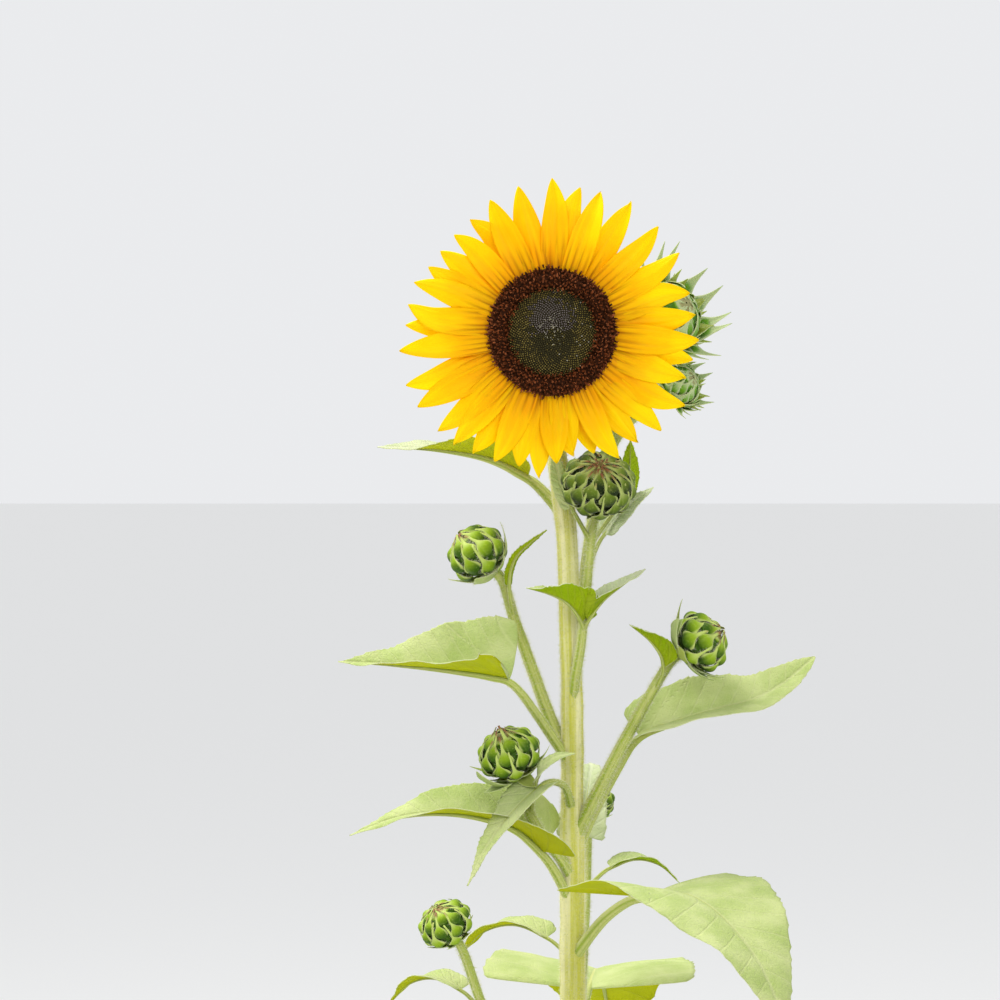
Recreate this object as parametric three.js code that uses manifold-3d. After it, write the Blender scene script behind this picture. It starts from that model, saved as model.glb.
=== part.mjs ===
// A branching sunflower plant, whole, from a flat cut at ground level to the tip of its open flower.
// Millimetres, +Z up. The stem's foot is at the origin and the open flower faces -Y.
import * as THREE from 'three';
import { mergeVertices } from 'three/addons/utils/BufferGeometryUtils.js';
import Module from 'manifold-3d';

const wasm = await Module();
wasm.setup();

// Driving dimensions
const GAP = 0.3; // clearance between pieces that meet
const GOLDEN_TURN = 137.5; // degrees between one leaf and the next round a stem

// The main stem: its axis from the ground to where it bends into the flower's back, and its radius by height
const STEM_AXIS = [
  [0, 0, 0], [0, 0, 24], [3, -1, 190], [-3, 1, 400], [1, -1, 610], [-6, 1, 830], [-7.5, 0, 1010],
  [-7.8, 0, 1086], [-9, 0, 1122], [-10.2, 0, 1170], [-11.7, 0, 1194], [-14, 1, 1212], [-17, 4, 1234],
  [-19.5, 7, 1256], [-20.5, 6, 1279], [-20.5, -1, 1295],
];
const STEM_RADII = [
  [0, 17], [22, 13.4], [70, 12], [500, 10.2], [900, 7.8], [1050, 6.6], [1240, 6.1], [1297, 7.4],
];
const STEM_SIDES = 10;
const STEM_RINGS = [0, 2, 6, 17, 36, 56, 76, 88, 96, 102, 106, 109, 111, 113, 115, 117, 119, 120];

// The open flower: its centre, the upward tilt of its face, and the layers along its own axis
const FLOWER_CENTRE = [-20.5, -48, 1305];
const FLOWER_TILT = 2;
const DISC_RADIUS = 39;
const DISC_RIM_WIDTH = 13.5;
const DISC_RIM_FRONT = 12;
const DISC_CENTRE_FRONT = 8.5;
const RECEPTACLE_DEPTH = 26;
const RAY_ROOT_RADIUS = 34;
const RAY_BAND = [0.3, 4.3];
const RAY_WIDTH = 15;
const RAY_THICKNESS = 1;
const RAY_STATIONS = [0, 0.3, 0.6, 0.84, 1];
const RAY_LAYERS = [1.1, 2.3, 3.5]; // heights of the layers in which neighbouring rays overlap
// Each ray floret: degrees clockwise from the top, and how far its tip is from the flower's axis
const RAYS = [
  [0, 91], [11, 87], [19, 88], [31, 90], [45, 88], [58, 88], [74, 84], [83, 85], [93, 86], [101, 84],
  [109, 83], [119, 89], [132, 86], [142, 82], [152, 84], [161, 75], [170, 74], [178, 77], [185, 86],
  [194, 81], [204, 83], [213, 85], [221, 88], [229, 89], [241, 90], [250, 91], [263, 90], [273, 86],
  [281, 86], [290, 86], [298, 82], [306, 81], [315, 81], [324, 82], [335, 86], [347, 88],
];
const FLOWER_BRACTS = 20;

// Buds: the middle of the flat base, the way the bud looks, its radius, and its height from base to crown.
// A closed bud's bracts meet over its crown. flare bends their tips outwards, in millimetres.
const BUDS = {
  bud_centre: { base: [6.6, -11.8, 1204.4], look: [0.05, -0.72, 0.69], radius: 22, height: 34, seed: 3 },
  bud_left: { base: [-54.5, 15, 1162.7], look: [-0.66, -0.24, 0.71], radius: 17.6, height: 32, seed: 5 },
  bud_right: { base: [58.4, -4, 1114.3], look: [0.8, -0.3, 0.52], radius: 18.2, height: 28, seed: 8 },
  bud_low: { base: [-40.6, -24.6, 1043.5], look: [-0.34, -0.36, 0.87], radius: 18.6, height: 30, seed: 13 },
  bud_back_high: {
    base: [44, 20.4, 1312.7], look: [0.66, -0.6, 0.45], radius: 22, height: 28, flare: 17, seed: 21,
  },
  bud_back_low: {
    base: [51.3, 27.8, 1272.7], look: [0.75, -0.55, 0.36], radius: 15, height: 21, flare: 12, seed: 34,
  },
};

// The two lines up a bud's surface, along the middle of an outer and of an inner bract: the angle from the
// base in degrees, the distance from the bud's middle as a share of its size, and 1 at the bract's tip
const BRACT_LINES = [
  [
    [36, 0.88, 0], [62, 1.02, 0], [84, 1.05, 0], [103, 1.14, 1], [112, 0.9, 0], [130, 0.86, 0],
    [152, 0.84, 0],
  ],
  [
    [36, 0.82, 0], [58, 0.86, 0], [74, 0.9, 0], [92, 1.01, 0], [116, 1.04, 0], [144, 1.12, 0.6],
    [154, 0.82, 0],
  ],
];

const BUD_CLEARANCE = 1.12; // how far leaves keep off a bud, as a share of its size
const STALK_SIDES = 7;

// Side stalks: the axis from inside the main stem or parent stalk to the bud's base, and the two end radii
const STALKS = {
  stalk_centre: {
    bud: 'bud_centre', from: 'main_stem', radii: [3.8, 2.7],
    axis: [
      [-8, 0, 1076], [-6.2, -6, 1098], [-3, -10, 1118], [-0.8, -12, 1138], [2.3, -12, 1170], [4, -11, 1186],
    ],
  },
  stalk_left: {
    bud: 'bud_left', from: 'main_stem', radii: [4.6, 3.6],
    axis: [
      [-7.5, 1, 1050], [-16, 4, 1064], [-23, 7, 1080], [-29.5, 9, 1098], [-36, 12, 1116], [-42.5, 15, 1134],
    ],
  },
  stalk_right: {
    bud: 'bud_right', from: 'main_stem', radii: [4.8, 3.4],
    axis: [[-7, 0, 1002], [0, -4, 1016], [7, -7, 1030], [18, -9, 1052], [29.4, -9, 1073], [39.6, -8, 1091]],
  },
  stalk_low: {
    bud: 'bud_low', from: 'main_stem', radii: [4.2, 3.2],
    axis: [[-7, 0, 978], [-15, -10, 992], [-25, -18, 1005], [-33, -22, 1019]],
  },
  stalk_back: {
    bud: 'bud_back_high', from: 'main_stem', radii: [4.8, 3.6],
    axis: [
      [-8, 0, 1090], [-5, 10, 1112], [-0.5, 16, 1150], [3.5, 18, 1182], [9, 22, 1212], [17, 29, 1248],
      [28, 35, 1282],
    ],
  },
  stalk_back_low: {
    bud: 'bud_back_low', from: 'stalk_back', radii: [3.4, 3],
    axis: [[12, 25, 1226], [20, 31, 1243], [32, 36, 1257]],
  },
};

const BROAD_LEAF = { outline: [0.12, 1.2], sweep: 0.07 };
const SMALL_LEAF = { outline: [0.3, 0.95], sweep: 0.03 };

// How much of a leaf's fold is gone at its tip, as a share
const FLATTENING = 0.6;
const SMALL_STALK_RADIUS = 1.4;

// Leaves that stand alone: the midrib's line from its foot to the leaf's tip, the share of that line which is
// bare stalk, the blade's width, how far each half is folded up in degrees, and the way that the upper side
// looks. Where up_tip is given, the blade twists from up at its foot to up_tip at its tip. outline gives the
// two powers of the blade's outline, sweep the backward reach of its lobes as a share of its length, and
// clear names other limbs that it passes. A pair under fold or sweep is for the left and the right half.
const LEAVES = {
  leaf_top_left: {
    line: [
      [-12, 1, 1196], [-25, 10, 1211], [-39, 18, 1223], [-57, 24, 1231], [-87, 34, 1236], [-126, 45, 1237.6],
    ],
    stalk: 0.26, width: 44, fold: [0, 48], up: [0, 0.35, 0.94], up_tip: [0, -0.6, 0.8], outline: [0.45, 1.1],
    stem: 'main_stem', stalk_radius: 3.8,
  },
  leaf_left: {
    line: [
      [-7.6, -1, 1046], [-19, -5, 1063], [-29, -12, 1078], [-39, -18, 1092], [-47, -20, 1099.5],
      [-56, -21, 1102], [-80, -23, 1105.5], [-112, -25, 1108.5], [-147, -27, 1110.5],
    ],
    stalk: 0.4, width: 80, fold: [48, 50], up: [0, -0.45, 0.89], outline: [0.12, 1.2], sweep: [-0.05, -0.18],
    stem: 'main_stem', stalk_radius: 3.2, clear: ['stalk_left'],
  },
  leaf_right: {
    line: [
      [-7, 0, 990], [7, 5, 1020], [20, 4, 1044], [29.5, 1, 1060], [37, -2, 1067], [51, -5, 1072.5],
      [75, -8, 1080], [101, -8, 1087], [117, -6, 1095], [138, -3, 1112],
    ],
    stalk: 0.42, width: 56, fold: [35, 26], up: [-0.12, -0.34, 0.93], up_tip: [-0.12, -0.62, 0.77],
    outline: [0.2, 0.75], sweep: [0, 0.09], stem: 'main_stem', stalk_radius: 3.2, clear: ['stalk_right'],
  },
  leaf_low_left: {
    line: [
      [-7, 0, 962], [-22, -13, 990], [-40, -22, 1010], [-72, -28, 1020], [-108, -31, 1019], [-140, -34, 1008],
    ],
    stalk: 0.26, width: 70, fold: 38, up: [0, -0.3, 0.95], stem: 'main_stem', stalk_radius: 3.4,
    clear: ['stalk_low'],
  },
  leaf_behind: {
    line: [[-7, 2, 972], [-3, 13, 997], [0, 22, 1015], [3, 36, 1031], [5, 54, 1040], [5, 78, 1041]],
    stalk: 0.3, width: 30, fold: 16, up: [0, -0.5, 0.86], stem: 'main_stem', stalk_radius: 2.8,
  },
  leaf_pair_left: {
    line: [[-1.2, -12, 1129], [-4, -19.5, 1137], [-11, -26, 1145.5], [-22, -32, 1151], [-35.5, -36, 1154.7]],
    stalk: 0.12, width: 36, fold: [50, 70], up: [0.1, -0.05, 0.99], outline: [0.16, 1.05], sweep: [-0.3, 0],
    stem: 'stalk_centre', small: true,
  },
  leaf_pair_right: {
    line: [[-1.2, -12, 1129], [3.5, -17, 1138], [11, -15.5, 1147], [21, -11, 1154.5], [36, -6, 1164.7]],
    stalk: 0.12, width: 24, fold: [62, 10], up: [0.1, -0.1, 0.99], up_tip: [-0.4, -0.8, 0.5],
    outline: [0.1, 0.9], sweep: [-0.4, 0], stem: 'stalk_centre', small: true, clear: ['leaf_pair_left'],
  },
  leaf_bud_right: {
    line: [[42, -8, 1093], [46.5, -13, 1104], [46, -16, 1112], [39, -19, 1122], [26, -21, 1132.2]],
    stalk: 0.3, width: 22, fold: [28, 78], up: [0.66, -0.2, 0.72], sweep: [0, -0.2],
    stem: 'stalk_right', small: true,
  },
  leaf_bud_left: {
    line: [
      [-42.5, 15, 1134], [-45, 8, 1149], [-45.3, 6, 1161], [-41.5, 5, 1171.5], [-33, 4, 1180], [-23, 0, 1188],
    ],
    stalk: 0.34, width: 6.5, fold: 22, up: [-0.5, 0.75, 0.4], stem: 'stalk_left', small: true,
  },
  leaf_bud_low: {
    line: [[-33, -22, 1019], [-30, -36, 1038], [-27, -44, 1048], [-18, -46, 1055.5], [-7, -42, 1057.5]],
    stalk: 0.5, width: 10, fold: 16, up: [-0.3, -0.55, 0.78], stem: 'stalk_low', small: true,
  },
  leaf_low_front: {
    line: [
      [-8, -3, 1022], [-13, -17, 1036], [-24, -31, 1038.5], [-41, -46, 1026], [-58, -57, 1005], [-70, -65, 982],
    ],
    stalk: 0.36, width: 30, fold: 22, up: [-0.2, -0.3, 0.93], stem: 'main_stem', stalk_radius: 2.4,
    clear: ['stalk_low', 'leaf_low_left', 'leaf_right', 'leaf_bud_low'],
  },
  leaf_centre_back: {
    line: [[2, -12, 1166], [9, 3, 1181], [17, 7, 1192], [28, 8, 1203.5], [41.5, 9, 1213.5]],
    stalk: 0.4, width: 19, fold: 12, up: [-0.5, -0.6, 0.62], stem: 'stalk_centre', small: true,
    clear: ['stalk_back'],
  },
  leaf_centre_left: {
    line: [[2.8, -12, 1182], [-4, -10, 1194], [-10.5, -10, 1206], [-16, -12.5, 1221], [-19, -14, 1240]],
    stalk: 0.36, width: 12, fold: 8, up: [-0.3, -0.95, -0.1], stem: 'stalk_centre', small: true,
    clear: ['main_stem', 'bud_centre'],
  },
  leaf_centre_right: {
    line: [[3.5, -11.5, 1180], [12, 3, 1191], [21, 8, 1204], [26, 3, 1221], [27, -7, 1242]],
    stalk: 0.4, width: 20, fold: 14, up: [-0.5, 0.8, 0.1], stem: 'stalk_centre', small: true,
    clear: ['stalk_back', 'bud_centre', 'leaf_centre_back'],
  },
};

// The lower part, where leaves follow each other down the stem by one rule
const LOWER = {
  count: 10,
  highest: 930,
  step: 80,
  first_turn: 305,
  blade_at_ends: 150,
  blade_swell: 70,
  width_share: 0.72,
  stalk_share: 0.42,
  fold: 14,
};
// Shoots in the axils of these lower leaves, each with a bud and two small leaves
const SHOOTS = [
  { leaf: 1, length: 165, bud: 15 },
  { leaf: 2, length: 190, bud: 16 },
  { leaf: 3, length: 200, bud: 14 },
  { leaf: 5, length: 185, bud: 13 },
];

const COLOURS = {
  stem: { color: 0xa3ad5a, roughness: 0.75 },
  leaf: { color: 0x7d9a48, roughness: 0.7 },
  bract: { color: 0x5f8434, roughness: 0.7 },
  ray: { color: 0xfcc20a, roughness: 0.6 },
  disc_rim: { color: 0x3c1a0e, roughness: 0.9 },
  disc_centre: { color: 0x45432c, roughness: 0.9 },
};

const radians = THREE.MathUtils.degToRad;
const vector = (p) => new THREE.Vector3(...p);
const lineThrough = (points) => new THREE.CatmullRomCurve3(points.map(vector), false, 'centripetal');

// A repeatable stream of numbers from 0 to 1
function stream(seed) {
  let state = seed * 7919 + 17;
  return () => {
    state = (state * 16807) % 2147483647;
    return state / 2147483647;
  };
}

// A turned body about +Z from its profile of [radius, height]
function turned(profile, sides) {
  const geometry = new THREE.LatheGeometry(profile.map((p) => new THREE.Vector2(...p)), sides);
  return toSolid(geometry.rotateX(Math.PI / 2));
}

// Straight-line reading of a table of [position, value]
function readTable(table, x) {
  const last = table.length - 1;
  if (x <= table[0][0]) return table[0][1];
  for (let i = 0; i < last; i++) {
    const [x0, y0] = table[i];
    const [x1, y1] = table[i + 1];
    if (x <= x1) return y0 + ((y1 - y0) * (x - x0)) / (x1 - x0);
  }
  return table[last][1];
}

// A closed geometry as a solid with its faces pointing out
function toSolid(geometry) {
  const bare = geometry.clone();
  bare.deleteAttribute('normal');
  bare.deleteAttribute('uv');
  const merged = mergeVertices(bare, 1e-4);
  const corners = merged.index.array;
  const places = merged.attributes.position.array;
  const kept = [];
  let sixVolumes = 0;
  const a = new THREE.Vector3();
  const b = new THREE.Vector3();
  const c = new THREE.Vector3();
  for (let i = 0; i < corners.length; i += 3) {
    const [p, q, r] = [corners[i], corners[i + 1], corners[i + 2]];
    if (p === q || q === r || r === p) continue;
    kept.push(p, q, r);
    a.fromArray(places, p * 3);
    b.fromArray(places, q * 3);
    c.fromArray(places, r * 3);
    sixVolumes += a.dot(b.cross(c));
  }
  if (sixVolumes < 0) kept.reverse();
  const mesh = new wasm.Mesh({ numProp: 3, vertProperties: places, triVerts: Uint32Array.from(kept) });
  return new wasm.Manifold(mesh);
}

// The largest closed body of a solid, so that a cut leaves no scrap
function largestBody(solid) {
  const bodies = solid.decompose();
  return bodies.reduce((best, body) => (body.volume() > best.volume() ? body : best));
}

function toGeometry(solid) {
  const mesh = solid.getMesh();
  const geometry = new THREE.BufferGeometry();
  geometry.setAttribute('position', new THREE.BufferAttribute(new Float32Array(mesh.vertProperties), 3));
  geometry.setIndex(new THREE.BufferAttribute(new Uint32Array(mesh.triVerts), 1));
  geometry.computeVertexNormals();
  return geometry;
}

// A round limb along a curve, with flat ends. radiusAt reads the share of the way along.
function limb(curve, radiusAt, sides, stations, extra = 0) {
  const steps = stations[stations.length - 1];
  const frames = curve.computeFrenetFrames(steps);
  const profile = stations.map((s) => new THREE.Vector2(radiusAt(s / steps) + extra, s));
  const tall = [new THREE.Vector2(0, 0), ...profile, new THREE.Vector2(0, steps)];
  const geometry = new THREE.LatheGeometry(tall, sides);
  const places = geometry.attributes.position;
  for (let i = 0; i < places.count; i++) {
    const s = Math.round(places.getY(i));
    const spot = curve.getPointAt(s / steps);
    spot.addScaledVector(frames.normals[s], places.getX(i));
    spot.addScaledVector(frames.binormals[s], places.getZ(i));
    places.setXYZ(i, spot.x, spot.y, spot.z);
  }
  return toSolid(geometry);
}

// Bends a box about a curve. Its length follows stations along the curve, and place gives each point's
// distance ahead of its station, sideways and upwards, from the station, the point's share q of the half
// width and its face s.
function bentBox(curve, stations, across, upAt, place) {
  const steps = stations.length - 1;
  const geometry = new THREE.BoxGeometry(steps, 2, 2, steps, across, 1);
  const places = geometry.attributes.position;
  for (let i = 0; i < places.count; i++) {
    const station = stations[Math.round(places.getX(i) + steps / 2)];
    const [along, aside, above] = place(station, places.getY(i), places.getZ(i));
    const spot = curve.getPointAt(station);
    const ahead = curve.getTangentAt(station);
    const side = upAt(station).cross(ahead).normalize();
    spot.addScaledVector(ahead, along).addScaledVector(side, aside).addScaledVector(ahead.cross(side), above);
    places.setXYZ(i, spot.x, spot.y, spot.z);
  }
  return toSolid(geometry);
}

// The half width of a leaf as a share of its widest, drawn out to its tip. The lower the first power, the
// nearer to the base it is widest, and the higher the second, the longer its tip.
function leafShape(b, [first, second]) {
  const shape = (at) => Math.pow(at, first) * Math.pow(1 - at, second);
  return shape(b) / shape(first / (first + second));
}

// A leaf's values for its left and right half, from a pair or from one number for both
function halves(value) {
  return Array.isArray(value) ? value : [value, value];
}

// One leaf: a round tapering stalk that runs on as the midrib under a blade with two raised halves
// grow thickens it all round.
function leafSolid(leaf, grow = 0) {
  const { line, stalk, width, fold, up, up_tip: upTip = up, small = false } = leaf;
  const { outline, sweep } = { ...(small ? SMALL_LEAF : BROAD_LEAF), ...leaf };
  const radius = (leaf.stalk_radius ?? SMALL_STALK_RADIUS) + grow;
  const curve = lineThrough(line);
  const blade = curve.getLength() * (1 - stalk);
  const thickness = Math.max(0.012 * blade, 0.9) + 2 * grow;
  const stalkStations = small ? [0, 0.5, 1] : [0, 0.35, 0.7, 1];
  const bladeStations = small ? [0.07, 0.3, 0.55, 0.8, 1] : [0.03, 0.13, 0.27, 0.42, 0.57, 0.72, 0.87, 1];
  const stations = [
    ...stalkStations.map((t) => t * stalk),
    ...bladeStations.map((b) => stalk + b * (1 - stalk)),
  ];
  const upAt = (at) => vector(up).lerp(vector(upTip), at);
  return bentBox(curve, stations, small ? 2 : 4, upAt, (station, q, s) => {
    const b = (station - stalk) / (1 - stalk);
    const rib = radius * (1 - 0.3 * Math.min(station / stalk, 1)) * (1 - Math.max(b, 0));
    if (b <= 0) return [0, q * rib, s * rib * Math.sqrt(1 - 0.8 * q * q)];
    const half = Math.max((width / 2) * leafShape(b, outline), thickness * 0.6) + grow;
    const side = q < 0 ? 0 : 1;
    const rise = radians(halves(fold)[side]) * (1 - FLATTENING * b * b);
    const back = b < 0.2 ? halves(sweep)[side] * q * q * blade : 0;
    const above = Math.abs(q) * half * Math.sin(rise) - 0.1 * half * q * q;
    const ribDepth = q === 0 && s < 0 ? rib * 0.9 : 0;
    const halfDepth = thickness / 2 / Math.cos(rise);
    return [-back, q * half * Math.cos(rise), above + s * halfDepth - ribDepth];
  });
}

// A bract of eight faces, set on a round body about +Z. Its root, middle and tip are [radius, height].
function bract(turn, root, middle, tip, halfWidth, depth) {
  const out = new THREE.Vector3(Math.cos(turn), Math.sin(turn), 0);
  const side = new THREE.Vector3(-Math.sin(turn), Math.cos(turn), 0);
  const spot = (r, z) => out.clone().multiplyScalar(r).setZ(z);
  const facing = new THREE.Vector2(tip[1] - root[1], root[0] - tip[0]).normalize();
  const corner = (push, shift) =>
    spot(middle[0] + facing.x * push, middle[1] + facing.y * push).addScaledVector(side, shift);
  const geometry = new THREE.OctahedronGeometry(1);
  const places = geometry.attributes.position;
  for (let i = 0; i < places.count; i++) {
    const [x, y, z] = [places.getX(i), places.getY(i), places.getZ(i)].map(Math.round);
    let at = corner(-depth * 0.6, x * halfWidth);
    if (y > 0) at = spot(...tip);
    if (y < 0) at = spot(...root);
    if (z > 0) at = corner(depth * 0.2, 0);
    if (z < 0) at = corner(-depth, 0);
    places.setXYZ(i, at.x, at.y, at.z);
  }
  return toSolid(geometry);
}

// A bud about +Z with its flat base at the origin: a rounded body whose surface rises into two rows of
// pointed bracts. Its columns follow the middle of an outer bract and of an inner bract by turns.
function budSolid({ radius, height, neck, flare = 0, seed }, bractsPerRow) {
  const random = stream(seed);
  const columns = Array.from({ length: bractsPerRow * 2 }, (_, i) => {
    const uneven = random() - 0.5;
    const points = BRACT_LINES[i % 2].map(([polar, scale, tip]) => {
      const angle = radians(polar + tip * uneven * 14);
      const out = radius * scale * Math.sin(angle) + flare * tip;
      return [out, (height / 2) * (1 - scale * Math.cos(angle)) + flare * tip * 0.3];
    });
    return [[0, 0], [neck, 0], ...points, [0, height * 0.93]];
  });
  const blank = columns[0].map((_, j) => new THREE.Vector2(1, j));
  const geometry = new THREE.LatheGeometry(blank, columns.length);
  const places = geometry.attributes.position;
  for (let i = 0; i < places.count; i++) {
    const column = Math.floor(i / blank.length) % columns.length;
    const turn = (column / columns.length) * Math.PI * 2;
    const [r, z] = columns[column][i % blank.length];
    places.setXYZ(i, r * Math.cos(turn), r * Math.sin(turn), z);
  }
  return toSolid(geometry);
}

const plant = new THREE.Group();
const clearances = {}; // limbs in the plant's own frame, grown by the gap, to cut what meets them

function addMesh(group, name, solid, colour) {
  const material = new THREE.MeshStandardMaterial(COLOURS[colour]);
  const mesh = new THREE.Mesh(toGeometry(largestBody(solid)), material);
  mesh.name = name;
  group.add(mesh);
  return mesh;
}

// Adds a piece made in the plant's frame as a mesh that stands at its own foot
function addAtFoot(group, name, solid, foot, colour) {
  const mesh = addMesh(group, name, solid.translate(foot.map((x) => -x)), colour);
  mesh.position.set(...foot);
  return mesh;
}

// The stem's whole axis, which meets the flower's back squarely
function stemCurve() {
  const tilt = radians(FLOWER_TILT);
  const behind = (distance) => [
    FLOWER_CENTRE[0],
    FLOWER_CENTRE[1] + distance * Math.cos(tilt),
    FLOWER_CENTRE[2] - distance * Math.sin(tilt),
  ];
  return lineThrough([...STEM_AXIS, behind(RECEPTACLE_DEPTH + 10), behind(RECEPTACLE_DEPTH + GAP)]);
}

function addMainStem() {
  const axis = stemCurve();
  const radiusAt = (u) => readTable(STEM_RADII, axis.getPointAt(u).z);
  addMesh(plant, 'main_stem', limb(axis, radiusAt, STEM_SIDES, STEM_RINGS), 'stem');
  clearances.main_stem = limb(axis, radiusAt, STEM_SIDES, STEM_RINGS, GAP);
}

// The stem's axis at a height, by halving
function stemAxisAt(height) {
  const axis = stemCurve();
  let [low, high] = [0, 1];
  for (let i = 0; i < 30; i++) {
    const middle = (low + high) / 2;
    if (axis.getPointAt(middle).z < height) low = middle;
    else high = middle;
  }
  return axis.getPointAt(low);
}

function addBud(name, { base, look, ...sizes }, neck, bractsPerRow) {
  const mesh = addMesh(plant, name, budSolid({ ...sizes, neck }, bractsPerRow), 'bract');
  mesh.position.set(...base);
  mesh.quaternion.setFromUnitVectors(new THREE.Vector3(0, 0, 1), vector(look).normalize());
  const round = new THREE.SphereGeometry(BUD_CLEARANCE, 12, 8);
  round.scale(sizes.radius, sizes.radius, sizes.height / 2).translate(0, 0, sizes.height / 2);
  round.applyQuaternion(mesh.quaternion).translate(...base);
  clearances[name] = toSolid(round);
}

// A side stalk that ends face to face with its bud's base
function addStalk(name, { axis, radii, from }, bud) {
  const look = vector(bud.look).normalize();
  const end = vector(bud.base).addScaledVector(look, -GAP);
  const before = vector(bud.base).addScaledVector(look, -7);
  const curve = lineThrough([...axis, before.toArray(), end.toArray()]);
  const radiusAt = (u) => radii[0] + (radii[1] - radii[0]) * u;
  const stations = Array.from({ length: 10 }, (_, i) => i);
  clearances[name] = limb(curve, radiusAt, STALK_SIDES, stations, GAP);
  const solid = limb(curve, radiusAt, STALK_SIDES, stations).subtract(clearances[from]);
  addAtFoot(plant, name, solid, axis[0], 'stem');
}

// A leaf, cut clear of every limb that it meets
function addLeaf(name, leaf) {
  let solid = leafSolid(leaf);
  for (const other of [leaf.stem, ...(leaf.clear ?? [])]) solid = solid.subtract(clearances[other]);
  addAtFoot(plant, name, solid, leaf.line[0], 'leaf');
  clearances[name] = leafSolid(leaf, GAP);
}

// The open flower, built about +Z in its own group: the receptacle with its bracts, the ray florets, and the
// two parts of the disc
function addFlower() {
  const flower = new THREE.Group();
  flower.position.set(...FLOWER_CENTRE);
  flower.rotation.x = radians(90 - FLOWER_TILT);
  const random = stream(11);

  const cup = [[9, -RECEPTACLE_DEPTH], [20, -21], [32, -13], [DISC_RADIUS, -4], [DISC_RADIUS, 0]];
  let receptacle = turned([[0, -RECEPTACLE_DEPTH], ...cup, [0, 0]], 20);
  for (let i = 0; i < FLOWER_BRACTS; i++) {
    const turn = radians((i * 360) / FLOWER_BRACTS + random() * 5);
    const reach = 58 + random() * 9;
    const root = [30, i % 2 ? -12 : -9];
    const middle = [DISC_RADIUS + 3, i % 2 ? -7.5 : -6];
    receptacle = receptacle.add(bract(turn, root, middle, [reach, -6 - random() * 8], 5.6, -2.2));
  }
  addMesh(flower, 'flower_receptacle', receptacle, 'bract');

  const [bandBack, bandFront] = RAY_BAND;
  const [inner, outer] = [RAY_ROOT_RADIUS - 4, DISC_RADIUS - 0.5];
  const band = [
    [inner, bandBack], [outer, bandBack], [outer, bandFront], [inner, bandFront], [inner, bandBack],
  ];
  let rays = turned(band, 24);
  RAYS.forEach(([clock, reach], i) => {
    const turn = radians(clock);
    const layer = RAY_LAYERS[i % RAY_LAYERS.length];
    const bend = layer - 4 * Math.cos(turn); // the lower rays bend towards the viewer
    const spot = (share, h) => {
      const r = RAY_ROOT_RADIUS + (reach - RAY_ROOT_RADIUS) * share;
      return [r * Math.sin(turn), r * Math.cos(turn), h];
    };
    const middle = spot(0.7, layer + bend * 0.35);
    const curve = lineThrough([spot(0, layer), spot(0.35, layer + 1), middle, spot(1, bend + 1)]);
    const half = (RAY_WIDTH / 2) * (0.92 + 0.16 * random());
    const fold = 9 - 18 * (i % 2);
    rays = rays.add(
      bentBox(curve, RAY_STATIONS, 2, () => new THREE.Vector3(0, 0, 1), (v, q, s) => {
        const rise = radians(fold) * Math.min(v / 0.3, 1);
        const aside = q * half * rayShape(v);
        return [0, aside * Math.cos(rise), Math.abs(aside) * Math.sin(rise) + (s * RAY_THICKNESS) / 2];
      }),
    );
  });
  addMesh(flower, 'ray_florets', rays, 'ray');

  const rimInner = DISC_RADIUS - DISC_RIM_WIDTH;
  const rimBack = bandFront + GAP;
  const rim = [
    [rimInner, rimBack], [DISC_RADIUS - 4, rimBack], [DISC_RADIUS + 0.6, 8],
    [DISC_RADIUS - 4, DISC_RIM_FRONT], [rimInner + 4, DISC_RIM_FRONT], [rimInner, 9.5], [rimInner, rimBack],
  ];
  addMesh(flower, 'disc_rim', turned(rim, 28), 'disc_rim');
  const centreRadius = rimInner - GAP;
  const centre = [
    [0, GAP], [centreRadius, GAP], [centreRadius, 7.5], [centreRadius * 0.6, DISC_CENTRE_FRONT],
    [centreRadius * 0.2, DISC_CENTRE_FRONT + 0.6], [0, DISC_CENTRE_FRONT],
  ];
  addMesh(flower, 'disc_centre', turned(centre, 24), 'disc_centre');
  plant.add(flower);
}

// The half width of a ray floret as a share of its widest: narrower at the root and pointed at the tip
function rayShape(v) {
  if (v < 0.45) return 0.66 + 0.34 * Math.sin((v / 0.45) * (Math.PI / 2));
  return Math.max(Math.pow(Math.cos(((v - 0.45) / 0.55) * (Math.PI / 2)), 0.65), 0.06);
}

// A lower leaf by its number from the top: its foot is in the stem's axis and its blade arches over and hangs
function lowerLeaf(i) {
  const foot = stemAxisAt(LOWER.highest - LOWER.step * i);
  const turn = radians(LOWER.first_turn + GOLDEN_TURN * i);
  const blade = LOWER.blade_at_ends + LOWER.blade_swell * Math.sin((Math.PI * (i + 1)) / (LOWER.count + 1));
  const stalk = blade * LOWER.stalk_share;
  const spot = (out, up) => [foot.x + Math.cos(turn) * out, foot.y + Math.sin(turn) * out, foot.z + up];
  return {
    turn,
    foot,
    line: [
      spot(0, 0), spot(stalk * 0.5, stalk * 0.42), spot(stalk * 0.95, stalk * 0.62),
      spot(stalk * 0.95 + blade * 0.3, stalk * 0.62 + blade * 0.03),
      spot(stalk * 0.95 + blade * 0.62, stalk * 0.62 - blade * 0.13),
      spot(stalk * 0.95 + blade * 0.84, stalk * 0.62 - blade * 0.42),
    ],
    stalk: 0.33,
    width: blade * LOWER.width_share,
    fold: LOWER.fold,
    up: [0.35 * Math.cos(turn), 0.35 * Math.sin(turn), 0.94],
    stem: 'main_stem',
    stalk_radius: 3.6,
  };
}

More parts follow.
